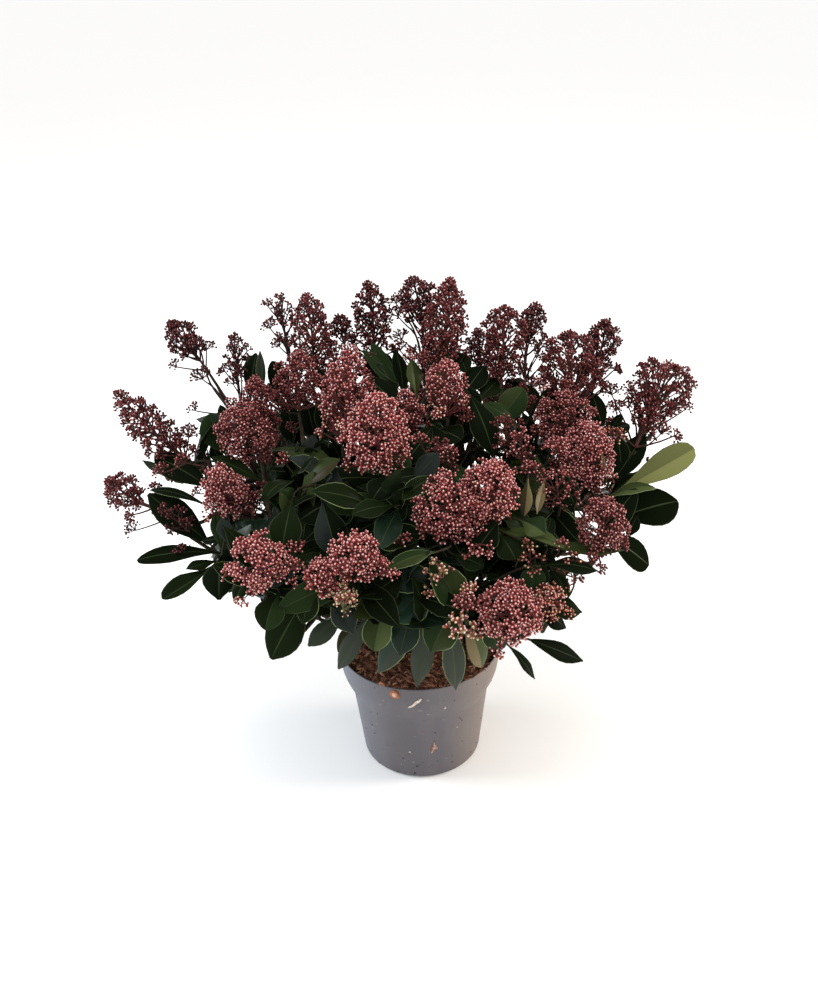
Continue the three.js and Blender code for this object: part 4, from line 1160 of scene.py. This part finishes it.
def limb(bag, path, radii, sides, seed, scars=11.0, depth=1.0, slot=0):
    """A limb with the bark's relief: long ridges, ring scars and knots."""
    rng = rng_for(seed)
    k = len(path)
    along = unit(np.gradient(path, axis=0))
    side = unit(np.cross(along, frames(unit(path[-1] - path[0]))[0][0]))
    over = np.cross(along, side)
    a = np.arange(sides) * 2 * math.pi / sides
    far = np.concatenate([[0], np.cumsum(np.linalg.norm(np.diff(path, axis=0), axis=1))])
    r = np.repeat(radii[:, None], sides, 1)
    ridges = sum(rng.uniform(0.3, 1) * np.sin(m * a[None] + rng.uniform(0, 6.28) + 90 * rng.uniform(-1, 1) * far[:, None])
                 for m in (2, 3, 5))
    rings = np.sin(far[:, None] / (scars * MM) * 6.28 + 0.8 * np.sin(a[None] + rng.uniform(0, 6.28)))
    r = r * (1 + depth * (0.035 * ridges + 0.045 * np.maximum(rings, 0.55) + 0.02 * rng.normal(size=r.shape)))
    for _ in range(int(far[-1] / (26 * MM))):   # knots where leaves once stood
        at, turn = rng.uniform(0, far[-1]), rng.uniform(0, 6.28)
        away = (far[:, None] - at) ** 2 / (2.6 * MM) ** 2 + (np.angle(np.exp(1j * (a[None] - turn)))) ** 2 / 0.5
        r = r + radii[:, None] * 0.26 * np.exp(-away) * depth
    points = path[:, None] + (side[:, None] * np.cos(a)[None, :, None] + over[:, None] * np.sin(a)[None, :, None]) * r[..., None]
    index = np.arange(k * sides).reshape(k, sides)
    lo, hi = index[:-1], index[1:]
    quads = np.stack([lo, np.roll(lo, -1, 1), np.roll(hi, -1, 1), hi], -1).reshape(-1, 4)
    n = k * sides
    last = np.stack([index[-1], np.roll(index[-1], -1), np.full(sides, n)], -1)
    first = np.stack([np.roll(index[0], -1), index[0], np.full(sides, n + 1)], -1)
    ends = np.stack([path[-1] + along[-1] * radii[-1] * 0.7, path[0] - along[0] * radii[0] * 0.3])
    bag.add(np.concatenate([points.reshape(-1, 3), ends]), quads, slot, np.concatenate([last, first]), slot)


def polar(azimuth, reach, z):
    w = math.radians(azimuth)
    return np.array([reach * math.cos(w), reach * math.sin(w), z]) * MM


def foot():
    """The short stem that the boughs fork from, with its flare and old cuts."""
    rng = rng_for("foot")
    rings, sides = 22, 40
    z = np.linspace(FOOT_LOW + 0.0004, FOOT_HIGH - 0.001, rings)
    share = (z - z[0]) / (z[-1] - z[0])
    r = np.interp(share, [0, 0.3, 0.85, 1], [22.3, 19.2, 17.4, 14.5]) * MM
    a = np.arange(sides) * 2 * math.pi / sides
    lobes = 0.055 * np.sin(5 * a + 0.6) + 0.05 * np.sin(9 * a + 2) + 0.03 * np.sin(3 * a)
    rr = r[:, None] * (1 + lobes[None] * (1.2 - share[:, None]) + 0.018 * rng.normal(size=(rings, sides))
                       + 0.03 * np.sin(14 * a[None] + 9 * share[:, None]))
    points = np.stack([rr * np.cos(a), rr * np.sin(a), np.repeat(z[:, None], sides, 1)], -1)
    index = np.arange(rings * sides).reshape(rings, sides)
    lo, hi = index[:-1], index[1:]
    quads = np.stack([lo, np.roll(lo, -1, 1), np.roll(hi, -1, 1), hi], -1).reshape(-1, 4)
    inner = np.stack([rr[-1] * 0.5 * np.cos(a), rr[-1] * 0.5 * np.sin(a),
                      np.full(sides, FOOT_HIGH - 0.0002) + 0.0012 * rng.normal(size=sides)], -1)
    n = rings * sides
    more = n + np.arange(sides)
    cap = np.stack([index[-1], np.roll(index[-1], -1), np.roll(more, -1), more], -1)
    middle = np.array([[0, 0, FOOT_HIGH - 0.001], [0, 0, z[0]]])
    tris = np.concatenate([np.stack([more, np.roll(more, -1), np.full(sides, n + sides)], -1),
                           np.stack([np.roll(index[0], -1), index[0], np.full(sides, n + sides + 1)], -1)])
    bag = Bag()
    bag.add(np.concatenate([points.reshape(-1, 3), inner, middle]), np.concatenate([quads, cap]), 0, tris, 0)
    return bag


limbs = {}
for name, (azimuth, reach, z) in {**BOUGHS, **LEADERS}.items():
    leader = name in LEADERS
    p0 = polar(azimuth, 7 if leader else 15, 162.35 if leader else 154.35)
    p2 = polar(azimuth, reach, z)
    p1 = np.array([*(p0[:2] + 0.42 * (p2[:2] - p0[:2])), p0[2] + 0.62 * (p2[2] - p0[2])])
    t = np.linspace(0, 1, 64)[:, None]
    path = (1 - t) ** 2 * p0 + 2 * t * (1 - t) * p1 + t * t * p2
    rng = rng_for(name)
    side = unit(np.cross(p2 - p0, UP))
    path = path + side * (0.0028 * np.sin(t * 9 + rng.uniform(0, 6.28)) * np.sin(t * math.pi))
    root = (5.8 if leader else 6.4) * MM
    radii = np.interp(t[:, 0], [0, 0.06, 1], [root * 1.12, root, 3.0 * MM])
    limb(bark, path, radii, 16, name, depth=1.0)
    limbs[name] = (path, radii)

twigs = Bag()
limb_points = np.concatenate([p[10:] for p, _ in limbs.values()])
limb_radii = np.concatenate([r[10:] for _, r in limbs.values()])
limb_ways = np.concatenate([unit(np.gradient(p, axis=0))[10:] for p, _ in limbs.values()])
twig_points = []


def twig(at, way, seed, thick=2.2, reach=1.0):
    """A shoot that grows from the nearest fitting place on a limb up to at."""
    below = at - way * 0.03 - UP * 0.045
    d = np.linalg.norm((limb_points - below) * np.array([1, 1, 0.8]), axis=1)
    d = d + 0.35 * np.maximum(0, limb_points[:, 2] - at[2] + 0.03)
    i = int(np.argmin(d))
    start, along = limb_points[i], limb_ways[i]
    far = np.linalg.norm(at - start)
    path = bezier(start, start + along * far * 0.35 + UP * far * 0.08, at - way * far * 0.42, at,
                  np.linspace(0, 1, max(6, int(far / (10 * MM)))))
    radii = np.linspace(min(limb_radii[i] * 0.82, thick * 1.35 * MM), thick * MM, len(path))
    limb(twigs, path, radii, 6, "twig " + seed, scars=8.0, depth=0.8, slot=0 if far > 0.12 else 1)
    twig_points.extend(path[len(path) // 3:])


for shoot in shoots:
    if shoot["leaves"] >= 4:
        twig(shoot["at"] - shoot["way"] * 14 * MM, shoot["way"], shoot["name"], 2.3)
        # the green-brown top of the shoot, which the leaves stand on
        over_ = 9 * MM if shoot["carries"] else -1 * MM
        top = np.linspace(shoot["at"] - shoot["way"] * 24 * MM, shoot["at"] + shoot["way"] * over_, 8)
        limb(twigs, top, np.linspace(2.3, 1.8, 8) * MM, 6, "top " + shoot["name"], scars=6.4, depth=1.3, slot=1)
        twig_points.extend(top)
stem_points = np.array(twig_points)


def join(at, way, seed, thick=1.2, slot=1, end=1.0):
    """A short twig from the nearest stem to a leaf or a cyme that stands apart."""
    behind = at - way * 0.012
    d = np.linalg.norm(stem_points - behind, axis=1) + 0.6 * np.maximum(0, stem_points[:, 2] - at[2] - 0.01)
    start = stem_points[int(np.argmin(d))]
    far = float(np.linalg.norm(at - start))
    if far < 1.5 * MM:
        return
    path = bezier(start, start + unit(at - start) * far * 0.4 - UP * far * 0.06, at - way * far * 0.35, at + way * 0.5 * MM,
                  np.linspace(0, 1, max(4, int(far / (7 * MM)))))
    limb(twigs, path, np.linspace(thick * 1.25, thick * end, len(path)) * MM, 5, "join " + seed, scars=6.0, depth=0.6, slot=slot)


for name, at, way in placed_at:
    join(at, way, name, 1.05)
for shoot in shoots:
    if not shoot["leaves"]:
        join(shoot["at"] + shoot["way"] * 5 * MM, shoot["way"], shoot["name"], 1.0)


# ------------------------------------------------------------- buds to meshes
def bud_piece(bag, at, axis, size, body, tip, sides=5):
    rings = ((-0.30, 0.93), (0.74, 0.59))
    a = np.arange(sides) * 2 * math.pi / sides
    local = [np.array([[0, 0, -1.12]])]
    for j, (z, r) in enumerate(rings):
        b = a + j * math.pi / sides
        local.append(np.stack([r * np.cos(b), r * np.sin(b), np.full(sides, z)], -1))
    local.append(np.array([[0, 0, 1.16]]))
    local = np.concatenate(local)
    n, m = len(at), len(local)
    u, v = frames(axis)
    spin = rng_for("spin").uniform(0, 1.25, n)[:, None]
    u, v = u * np.cos(spin) + v * np.sin(spin), v * np.cos(spin) - u * np.sin(spin)
    points = (at[:, None] + size[:, None, None] * (
        local[None, :, 0:1] * u[:, None] + local[None, :, 1:2] * v[:, None] + local[None, :, 2:3] * axis[:, None]))
    faces, tips = [], []
    ring = [1 + sides * j + np.arange(sides) for j in range(2)]
    nxt = [np.roll(r, -1) for r in ring]
    for i in range(sides):
        faces.append((0, nxt[0][i], ring[0][i]))
        faces.append((ring[0][i], nxt[0][i], ring[1][i]))
        faces.append((nxt[0][i], nxt[1][i], ring[1][i]))
        tips.append((ring[1][i], nxt[1][i], m - 1))
    faces, tips = np.array(faces), np.array(tips)
    shift = (np.arange(n) * m)[:, None, None]
    tris = np.concatenate([(faces[None] + shift).reshape(-1, 3), (tips[None] + shift).reshape(-1, 3)])
    slots = np.concatenate([np.repeat(body, len(faces)), np.repeat(tip, len(tips))])
    bag.add(points.reshape(-1, 3), tris=tris, tri_slots=slots)


HEAD_NODES = [f"flower_head_{i:02d}" for i in range(1, 34)]
node_part = {n: part_of(np.array((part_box(n)[0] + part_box(n)[1]) / 2)) for n in HEAD_NODES}
b = {k: np.concatenate([np.asarray(x) for x in v]) for k, v in buds.items()}
bud_mats = bud_materials()
PARTS = ("front", "left", "right", "back")
for part, label in enumerate(PARTS):
    mask = b["part"] == part
    halves = np.array_split(np.flatnonzero(mask), 2)
    for h, chosen in enumerate(halves):
        bag = Bag()
        bud_piece(bag, b["at"][chosen], b["axis"][chosen], b["size"][chosen], b["body"][chosen], b["tip"][chosen],
                  4 if label == "back" else 5)
        build(f"flower_buds_{label}_{h + 1}", bag, bud_mats,
              [n for n in HEAD_NODES if node_part[n] == part] if h == 0 else ())

stalk_mats = [bark_material("stalk_" + n, tuple(x * 0.6 for x in c), c, 420.0, 0.0004) for n, c in STALKS.items()]
stalks = Bag()
for sides, groups in sticks.items():
    for paths, radii, slot in groups:
        tubes(stalks, paths, radii, sides, slot, capped=False)
for starts, ends, slot, thick in spikes:
    way = unit(ends - starts)
    u, v = frames(way)
    turns = np.arange(3) * 2 * math.pi / 3
    foot_ = starts[:, None] + thick * MM * (u[:, None] * np.cos(turns)[:, None] + v[:, None] * np.sin(turns)[:, None])
    first = np.arange(len(starts))[:, None] * 4
    tris = np.stack([first + [0, 1, 2], first + [1, 2, 0], np.broadcast_to(first + 3, (len(starts), 3))], -1)
    stalks.add(np.concatenate([foot_, ends[:, None]], 1).reshape(-1, 3), tris=tris.reshape(-1, 3),
               tri_slots=np.repeat(np.broadcast_to(slot, len(starts)), 3))
build("flower_stalks", stalks, stalk_mats)

leaf_mats = leaf_materials()
MASS_NODES = [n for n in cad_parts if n.startswith("leaves_")]
mass_part = {n: part_of(np.array((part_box(n)[0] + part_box(n)[1]) / 2)) for n in MASS_NODES}
for part, label in enumerate(PARTS[:3]):
    bag = Bag()
    for points, quads, slots, where in leaves:
        if where == part:
            bag.add(points, quads, slots)
    build(f"leaves_{label}", bag, leaf_mats, [n for n in MASS_NODES if mass_part[n] == part])

old_bark = bark_material("bark_old", (0.017, 0.012, 0.008), (0.050, 0.036, 0.024))
young_bark = bark_material("bark_young", (0.011, 0.009, 0.006), (0.029, 0.023, 0.013), 300.0, 0.0006)
build("boughs_with_bark", bark, [old_bark], list(BOUGHS) + list(LEADERS))
build("stem_foot_with_bark", foot(), [old_bark], ["stem_foot"])
build("twigs", twigs, [old_bark, young_bark])


# ------------------------------------------------------------- pot and soil
def lathe(bag, profile, sides, wobble=None, slot=0):
    profile = np.asarray(profile, float)
    a = np.arange(sides) * 2 * math.pi / sides
    r = profile[:, 0:1] * np.ones(sides)
    if wobble is not None:
        r = r + wobble(a[None], profile[:, 1:2]) * (profile[:, 0:1] > 1 * MM)
    points = np.stack([r * np.cos(a), r * np.sin(a), np.repeat(profile[:, 1:2], sides, 1)], -1)
    index = np.arange(len(profile) * sides).reshape(-1, sides)
    lo, hi = index[:-1], index[1:]
    bag.add(points.reshape(-1, 3), np.stack([lo, np.roll(lo, -1, 1), np.roll(hi, -1, 1), hi], -1).reshape(-1, 4), slot)


def rounded(points, per=6):
    """A smooth outline through the middles of the given corners."""
    points = np.asarray(points, float)
    out = [points[0]]
    for a, c, d in zip(points[:-2], points[1:-1], points[2:]):
        p, q = (a + c) / 2, (c + d) / 2
        for t in np.linspace(0, 1, per):
            out.append((1 - t) ** 2 * p + 2 * t * (1 - t) * c + t * t * q)
    out.append(points[-1])
    return np.array(out)


OUTSIDE = [(0.0, 0.0), (20, 0.0), (50, 0.0), (65.5, 0.0), (69.6, 1.2), (71.2, 4.6), (72.0, 12), (75.9, 45), (79.8, 78),
           (82.0, 95), (85.6, 102.5), (89.5, 110.5), (92.6, 120), (93.8, 127), (94.2, 134), (94.7, 143), (95.0, 147.2), (94.7, 148.0)]
INSIDE = [(93.4, 148.0), (92.9, 147.0), (92.6, 144), (92.0, 134), (91.6, 127), (87.3, 110.5), (79.8, 95), (70, 12), (61, 4), (0.0, 3.5)]
profile = np.concatenate([rounded(OUTSIDE, 5), rounded(INSIDE, 3)]) * MM
profile = profile[np.concatenate([[True], np.linalg.norm(np.diff(profile, axis=0), axis=1) > 0.03 * MM])]
profile[:, 0] = np.maximum(profile[:, 0], 0.02 * MM)
PLASTIC_R = np.array([[c[1], c[0]] for c in rounded(OUTSIDE)]) * MM
PLASTIC_R = PLASTIC_R[np.argsort(PLASTIC_R[:, 0], kind="stable")]


def on_pot(px, py):
    """Where the line of sight through a picture place meets the pot's wall."""
    ray = unit(CAM_RIGHT * (px - WIDE / 2) / FOCAL + CAM_UP * (HIGH / 2 - py) / FOCAL + AHEAD)
    for t in np.arange(0.9, 1.6, 0.00025):
        at = CAM_AT + ray * t
        r = math.hypot(at[0], at[1])
        if 0.001 < at[2] < 0.1479 and r < np.interp(at[2], PLASTIC_R[:, 0], PLASTIC_R[:, 1]):
            out = unit(np.array([at[0], at[1], 0]))
            return at, unit(out + np.array([0, 0, -0.12]))
    return None


def crumb(bag, at, normal, long, wide, high, turn, slot, rng, lumps=0.18, n=7):
    """A flat crumb stuck on a wall: a low dome with an uneven rim."""
    if np.ndim(turn):       # the way its long axis runs
        u = unit(turn - (turn @ normal) * normal)
        v = np.cross(normal, u)
    else:
        u, v = (q[0] for q in frames(normal))
        u, v = u * math.cos(turn) + v * math.sin(turn), v * math.cos(turn) - u * math.sin(turn)
    a = np.arange(n) * 2 * math.pi / n
    rim = 1 + lumps * rng.normal(size=n)
    low = at + (u * (np.cos(a) * rim)[:, None] * long + v * (np.sin(a) * rim)[:, None] * wide) - normal * 0.25 * MM
    top = at + (u * (np.cos(a) * rim)[:, None] * long + v * (np.sin(a) * rim)[:, None] * wide) * 0.82 + normal * high
    index = np.arange(n)
    nxt = np.roll(index, -1)
    bag.add(np.concatenate([low, top, [at + normal * high * 1.15], [at - normal * 0.4 * MM]]),
            np.stack([index, nxt, nxt + n, index + n], -1), slot,
            np.concatenate([np.stack([index + n, nxt + n, np.full(n, 2 * n)], -1),
                            np.stack([nxt, index, np.full(n, 2 * n + 1)], -1)]), slot)


pot = Bag()
lathe(pot, profile, 128, lambda a, z: 0.35 * MM * np.sin(2 * a + 0.7) * (z / 0.148) + 0.12 * MM * np.sin(3 * a))
build("pot_moulded", pot, [pot_material()], ["pot"])


# what has stuck to the pot: (px, py), length, width, height in mm, turn, slot
STUCK = [
    (394.8, 694.5, 7.2, 6.5, 1.1, UP, 0), (394.8, 694.5, 3.9, 3.5, 1.6, UP, 1), (382, 685.0, 4.8, 4.4, 1.0, UP, 0), (382, 685.0, 2.7, 2.4, 1.4, UP, 3),
    (417, 766, 1.5, 1.1, 0.5, 0, 4), (415, 773, 1.9, 1.3, 0.5, 1, 4), (375, 733, 1.4, 1.0, 0.5, 0, 4),
    (366, 728, 1.1, 0.7, 0.4, 0, 4), (349, 681, 1.2, 1.0, 0.4, 0, 4), (371, 712, 0.9, 0.7, 0.4, 1, 4), (445, 708, 1.5, 0.8, 0.4, .6, 2),
    (403, 758, 1.3, 0.9, 0.4, 0, 4), (452, 762, 1.1, 0.8, 0.4, 0, 4), (462, 741, 0.9, 0.7, 0.3, 0, 4), (357, 694, 1.4, 0.8, 0.4, 0, 4),
    (361, 718, 0.8, 0.7, 0.3, 0, 4), (388, 745, 0.9, 0.6, 0.3, 0, 4), (410, 752, 1.6, 1.0, 0.4, 0, 2), (424, 721, 0.7, 0.6, 0.3, 0, 4),
    (471, 752, 1.2, 0.8, 0.4, 0, 3), (440, 766, 1.0, 0.9, 0.4, 0, 3), (398, 771, 1.1, 0.7, 0.4, 0, 4), (379, 762, 0.9, 0.9, 0.4, 0, 4),
    (432, 765, 0.8, 0.7, 0.3, 0, 4), (457, 727, 0.8, 0.6, 0.3, 0, 2), (385, 705, 0.7, 0.6, 0.3, 0, 4), (372, 751, 1.0, 0.7, 0.3, 0, 4),
]
stuck, rng = Bag(), rng_for("stuck")
for px, py, long, wide, high, turn, slot in STUCK:
    found = on_pot(px, py)
    if found:
        crumb(stuck, found[0], found[1], long * MM, wide * MM, high * MM, turn, slot, rng, 0.03 if slot < 2 else 0.2, 16 if slot < 2 else 7)
# the same from one picture place to another: a flake of bark, and a wisp of root
for x0, y0, x1, y1, wide, high, slot in (
        (412.5, 705.0, 421.5, 699.0, 1.9, 1.0, 2), (408.0, 707.8, 416.5, 703.6, 1.5, 0.8, 2),
        (431.0, 754.0, 436.0, 744.5, 0.9, 0.8, 5), (429.5, 747.5, 437.5, 748.0, 0.8, 0.7, 5), (434.0, 741.5, 434.5, 750.0, 0.8, 0.9, 5),
        (432.5, 745.5, 430.0, 750.5, 0.7, 0.6, 3), (436.5, 745.0, 433.0, 752.0, 0.7, 0.6, 3)):
    ends = on_pot(x0, y0), on_pot(x1, y1)
    if ends[0] and ends[1]:
        way = ends[1][0] - ends[0][0]
        crumb(stuck, (ends[0][0] + ends[1][0]) / 2, ends[0][1], np.linalg.norm(way) / 2, wide * MM, high * MM, way, slot, rng, 0.12, 10)
for i in range(70):     # small dirt all the way round, more of it low down
    w, h = rng.uniform(0, 6.28), 0.146 * rng.uniform() ** 1.5 + 0.002
    r = np.interp(h, PLASTIC_R[:, 0], PLASTIC_R[:, 1])
    out = np.array([math.cos(w), math.sin(w), 0])
    small = rng.uniform(0.4, 1.2) * MM
    crumb(stuck, out * r + np.array([0, 0, h]), unit(out - np.array([0, 0, .12])), small, small * 0.7, 0.3 * MM, rng.uniform(0, 3), 4 if rng.uniform() < 0.8 else 3, rng)
build("stuck_on_pot", stuck, [chip_material("stuck_orange", (0.36, 0.145, 0.080)), chip_material("stuck_core", (0.66, 0.40, 0.27)),
                              chip_material("stuck_pale", (0.86, 0.72, 0.60)), chip_material("stuck_brown", (0.24, 0.12, 0.085)),
                              chip_material("stuck_dark", (0.030, 0.027, 0.028)), chip_material("stuck_root", (0.60, 0.36, 0.28))])


def wall(z):
    """The inside radius of the pot at a height, in metres."""
    inner = np.array(INSIDE)[::-1]
    return float(np.interp(z / MM, inner[:, 1], inner[:, 0])) * MM - 0.0006


def ground(x, y):
    """Height of the soil surface."""
    r = np.hypot(x, y) / (91 * MM)
    return (145.6 - 3.4 * r ** 2) * MM + 0.0011 * np.sin(x * 190 + 1) * np.cos(y * 160) + 0.0008 * np.sin(x * 410 + y * 330)


soil = Bag()
rings, sides = 30, 96
share = np.linspace(0.0, 1.0, rings)
rng = rng_for("soil")
edge = wall(0.1425)
rr = np.maximum(share * edge, 0.02 * MM)
a = np.arange(sides) * 2 * math.pi / sides
x, y = rr[:, None] * np.cos(a), rr[:, None] * np.sin(a)
z = ground(x, y) + 0.0009 * rng.normal(size=x.shape) * (share[:, None] < 0.99)
surface = np.stack([x, y, z], -1)
down = [(wall(h) - 0.0012, h) for h in (0.1405, 0.134, 0.129, 0.118, 0.106, 0.094, 0.05, 0.014)] + [(0.055, 0.0046), (0.00002, 0.0046)]
skirt = np.stack([np.stack([r * np.cos(a), r * np.sin(a), np.full(sides, h)], -1) for r, h in down])
points = np.concatenate([surface, skirt])[::-1]
index = np.arange(points.shape[0] * sides).reshape(-1, sides)
lo, hi = index[:-1], index[1:]
soil.add(points.reshape(-1, 3), np.stack([lo, np.roll(lo, -1, 1), np.roll(hi, -1, 1), hi], -1).reshape(-1, 4), 0)

# loose bark chips and fibres on the surface
chips = 1700
chip_colours = ((0.250, 0.100, 0.058), (0.370, 0.160, 0.090), (0.120, 0.052, 0.032), (0.520, 0.270, 0.160), (0.046, 0.022, 0.015))
corner = np.array([(-1, -.55, -.5), (-.75, .6, -.45), (.8, .5, -.5), (1, -.4, -.4), (-.9, -.5, .35), (-.65, .5, .55), (.7, .45, .4), (.85, -.45, .5)])
box = np.array([(0, 1, 2, 3), (7, 6, 5, 4), (0, 4, 5, 1), (1, 5, 6, 2), (2, 6, 7, 3), (3, 7, 4, 0)])
for i in range(chips):
    fibre = rng.uniform() < 0.16
    long = MM * (rng.uniform(3, 8) if fibre else rng.uniform(1.6, 3.8) if rng.uniform() < 0.8 else rng.uniform(3.5, 6))
    wide = long * (rng.uniform(0.07, 0.13) if fibre else rng.uniform(0.25, 0.6))
    high = min(wide, 1.6 * MM) * rng.uniform(0.4, 1.0)
    reach = math.sqrt(rng.uniform(0.0, 1.0)) * (edge - long * 0.8)
    way = rng.uniform(0, 6.28)
    cx, cy = reach * math.cos(way), reach * math.sin(way)
    if reach < 23 * MM:
        continue
    turn, tip_up, roll_ = rng.uniform(0, 6.28), rng.normal(0, 0.28), rng.normal(0, 0.4)
    shape = corner * np.array([long, wide, high]) * rng.uniform(0.75, 1.2, (8, 3))
    cr, sr = math.cos(roll_), math.sin(roll_)
    shape = shape @ np.array([[1, 0, 0], [0, cr, sr], [0, -sr, cr]])
    ct, st = math.cos(tip_up), math.sin(tip_up)
    shape = shape @ np.array([[ct, 0, st], [0, 1, 0], [-st, 0, ct]])
    cz, sz = math.cos(turn), math.sin(turn)
    shape = shape @ np.array([[cz, sz, 0], [-sz, cz, 0], [0, 0, 1]])
    lift = float(ground(cx, cy)) + high * 0.35 + rng.uniform(0, 1.6) * MM
    soil.add(shape + np.array([cx, cy, lift]), box, 1 + int(rng.integers(0, 5)))
for i in range(90):     # fibres that have come to rest on the rim
    way = rng.uniform(-1.35, -0.55) if i < 60 else rng.uniform(0, 6.28)
    long, reach = rng.uniform(1.6, 4.2) * MM, rng.uniform(90.5, 94.2) * MM
    shape = corner * np.array([long, long * rng.uniform(0.10, 0.3), 0.5 * MM]) * rng.uniform(0.75, 1.2, (8, 3))
    turn = way + 1.57 + rng.normal(0, 0.7)
    cz, sz = math.cos(turn), math.sin(turn)
    shape = shape @ np.array([[cz, sz, 0], [-sz, cz, 0], [0, 0, 1]])
    soil.add(shape + np.array([reach * math.cos(way), reach * math.sin(way), 0.1482 + rng.uniform(0, 0.0007)]), box, 1 + int(rng.integers(0, 5)))
build("soil_with_bark_chips", soil, [soil_material()] + [chip_material(f"chip_{i}", c) for i, c in enumerate(chip_colours)],
      ["soil"], smooth=False)


# --------------------------------------------------------- floor and lights
def stage_floor():
    bag = Bag()
    n = 48
    a = np.arange(n) * 2 * math.pi / n
    ring = np.stack([60 * np.cos(a), 60 * np.sin(a), np.zeros(n)], -1)
    me = bpy.data.meshes.new("floor")
    me.from_pydata([tuple(p) for p in ring], [], [tuple(range(n))])
    ob = bpy.data.objects.new("floor", me)
    bpy.context.scene.collection.objects.link(ob)
    m, tree, p = material("floor_paper", (0.97, 0.97, 0.97), 0.95, 0.1)
    me.materials.append(m)


def area(name, at, to, size, power, colour, shape="RECTANGLE"):
    data = bpy.data.lights.new(name, "AREA")
    data.shape, data.size, data.size_y = shape, size[0], size[1]
    data.energy, data.color = power, colour
    ob = bpy.data.objects.new(name, data)
    bpy.context.scene.collection.objects.link(ob)
    from mathutils import Vector
    ob.location = at
    ob.rotation_euler = (Vector(to) - Vector(at)).to_track_quat("-Z", "Y").to_euler()


def lights():
    world = bpy.data.worlds.new("studio")
    bpy.context.scene.world = world
    world.use_nodes = True
    back = world.node_tree.nodes["Background"]
    back.inputs["Color"].default_value = (1.0, 0.995, 0.985, 1)
    back.inputs["Strength"].default_value = 1.0
    area("soft_top", (0.0, -0.6, 3.0), (0, 0, 0.3), (1.6, 1.6), 18, (1.0, 0.98, 0.95))
    area("window_left", (-2.2, 0.2, 1.2), (0, 0, 0.25), (1.0, 1.4), 44, (0.86, 0.93, 1.0))
    area("lamp_right", (2.2, 0.1, 1.2), (0, 0, 0.25), (0.9, 1.3), 42, (1.0, 0.91, 0.80))


set_camera()
stage_floor()
lights()
bpy.context.scene.view_settings.view_transform = "Standard"
bpy.context.scene.view_settings.look = "None"

sizes = {o.name: sum(len(p.vertices) - 2 for p in o.data.polygons)
         for o in bpy.data.objects if o.type == "MESH" and not o.hide_render}
print("triangles of each piece:", sizes)
print("triangles shown:", sum(sizes.values()), "buds:", len(b["at"]), "leaves:", len(leaves), "shoots:", len(shoots))
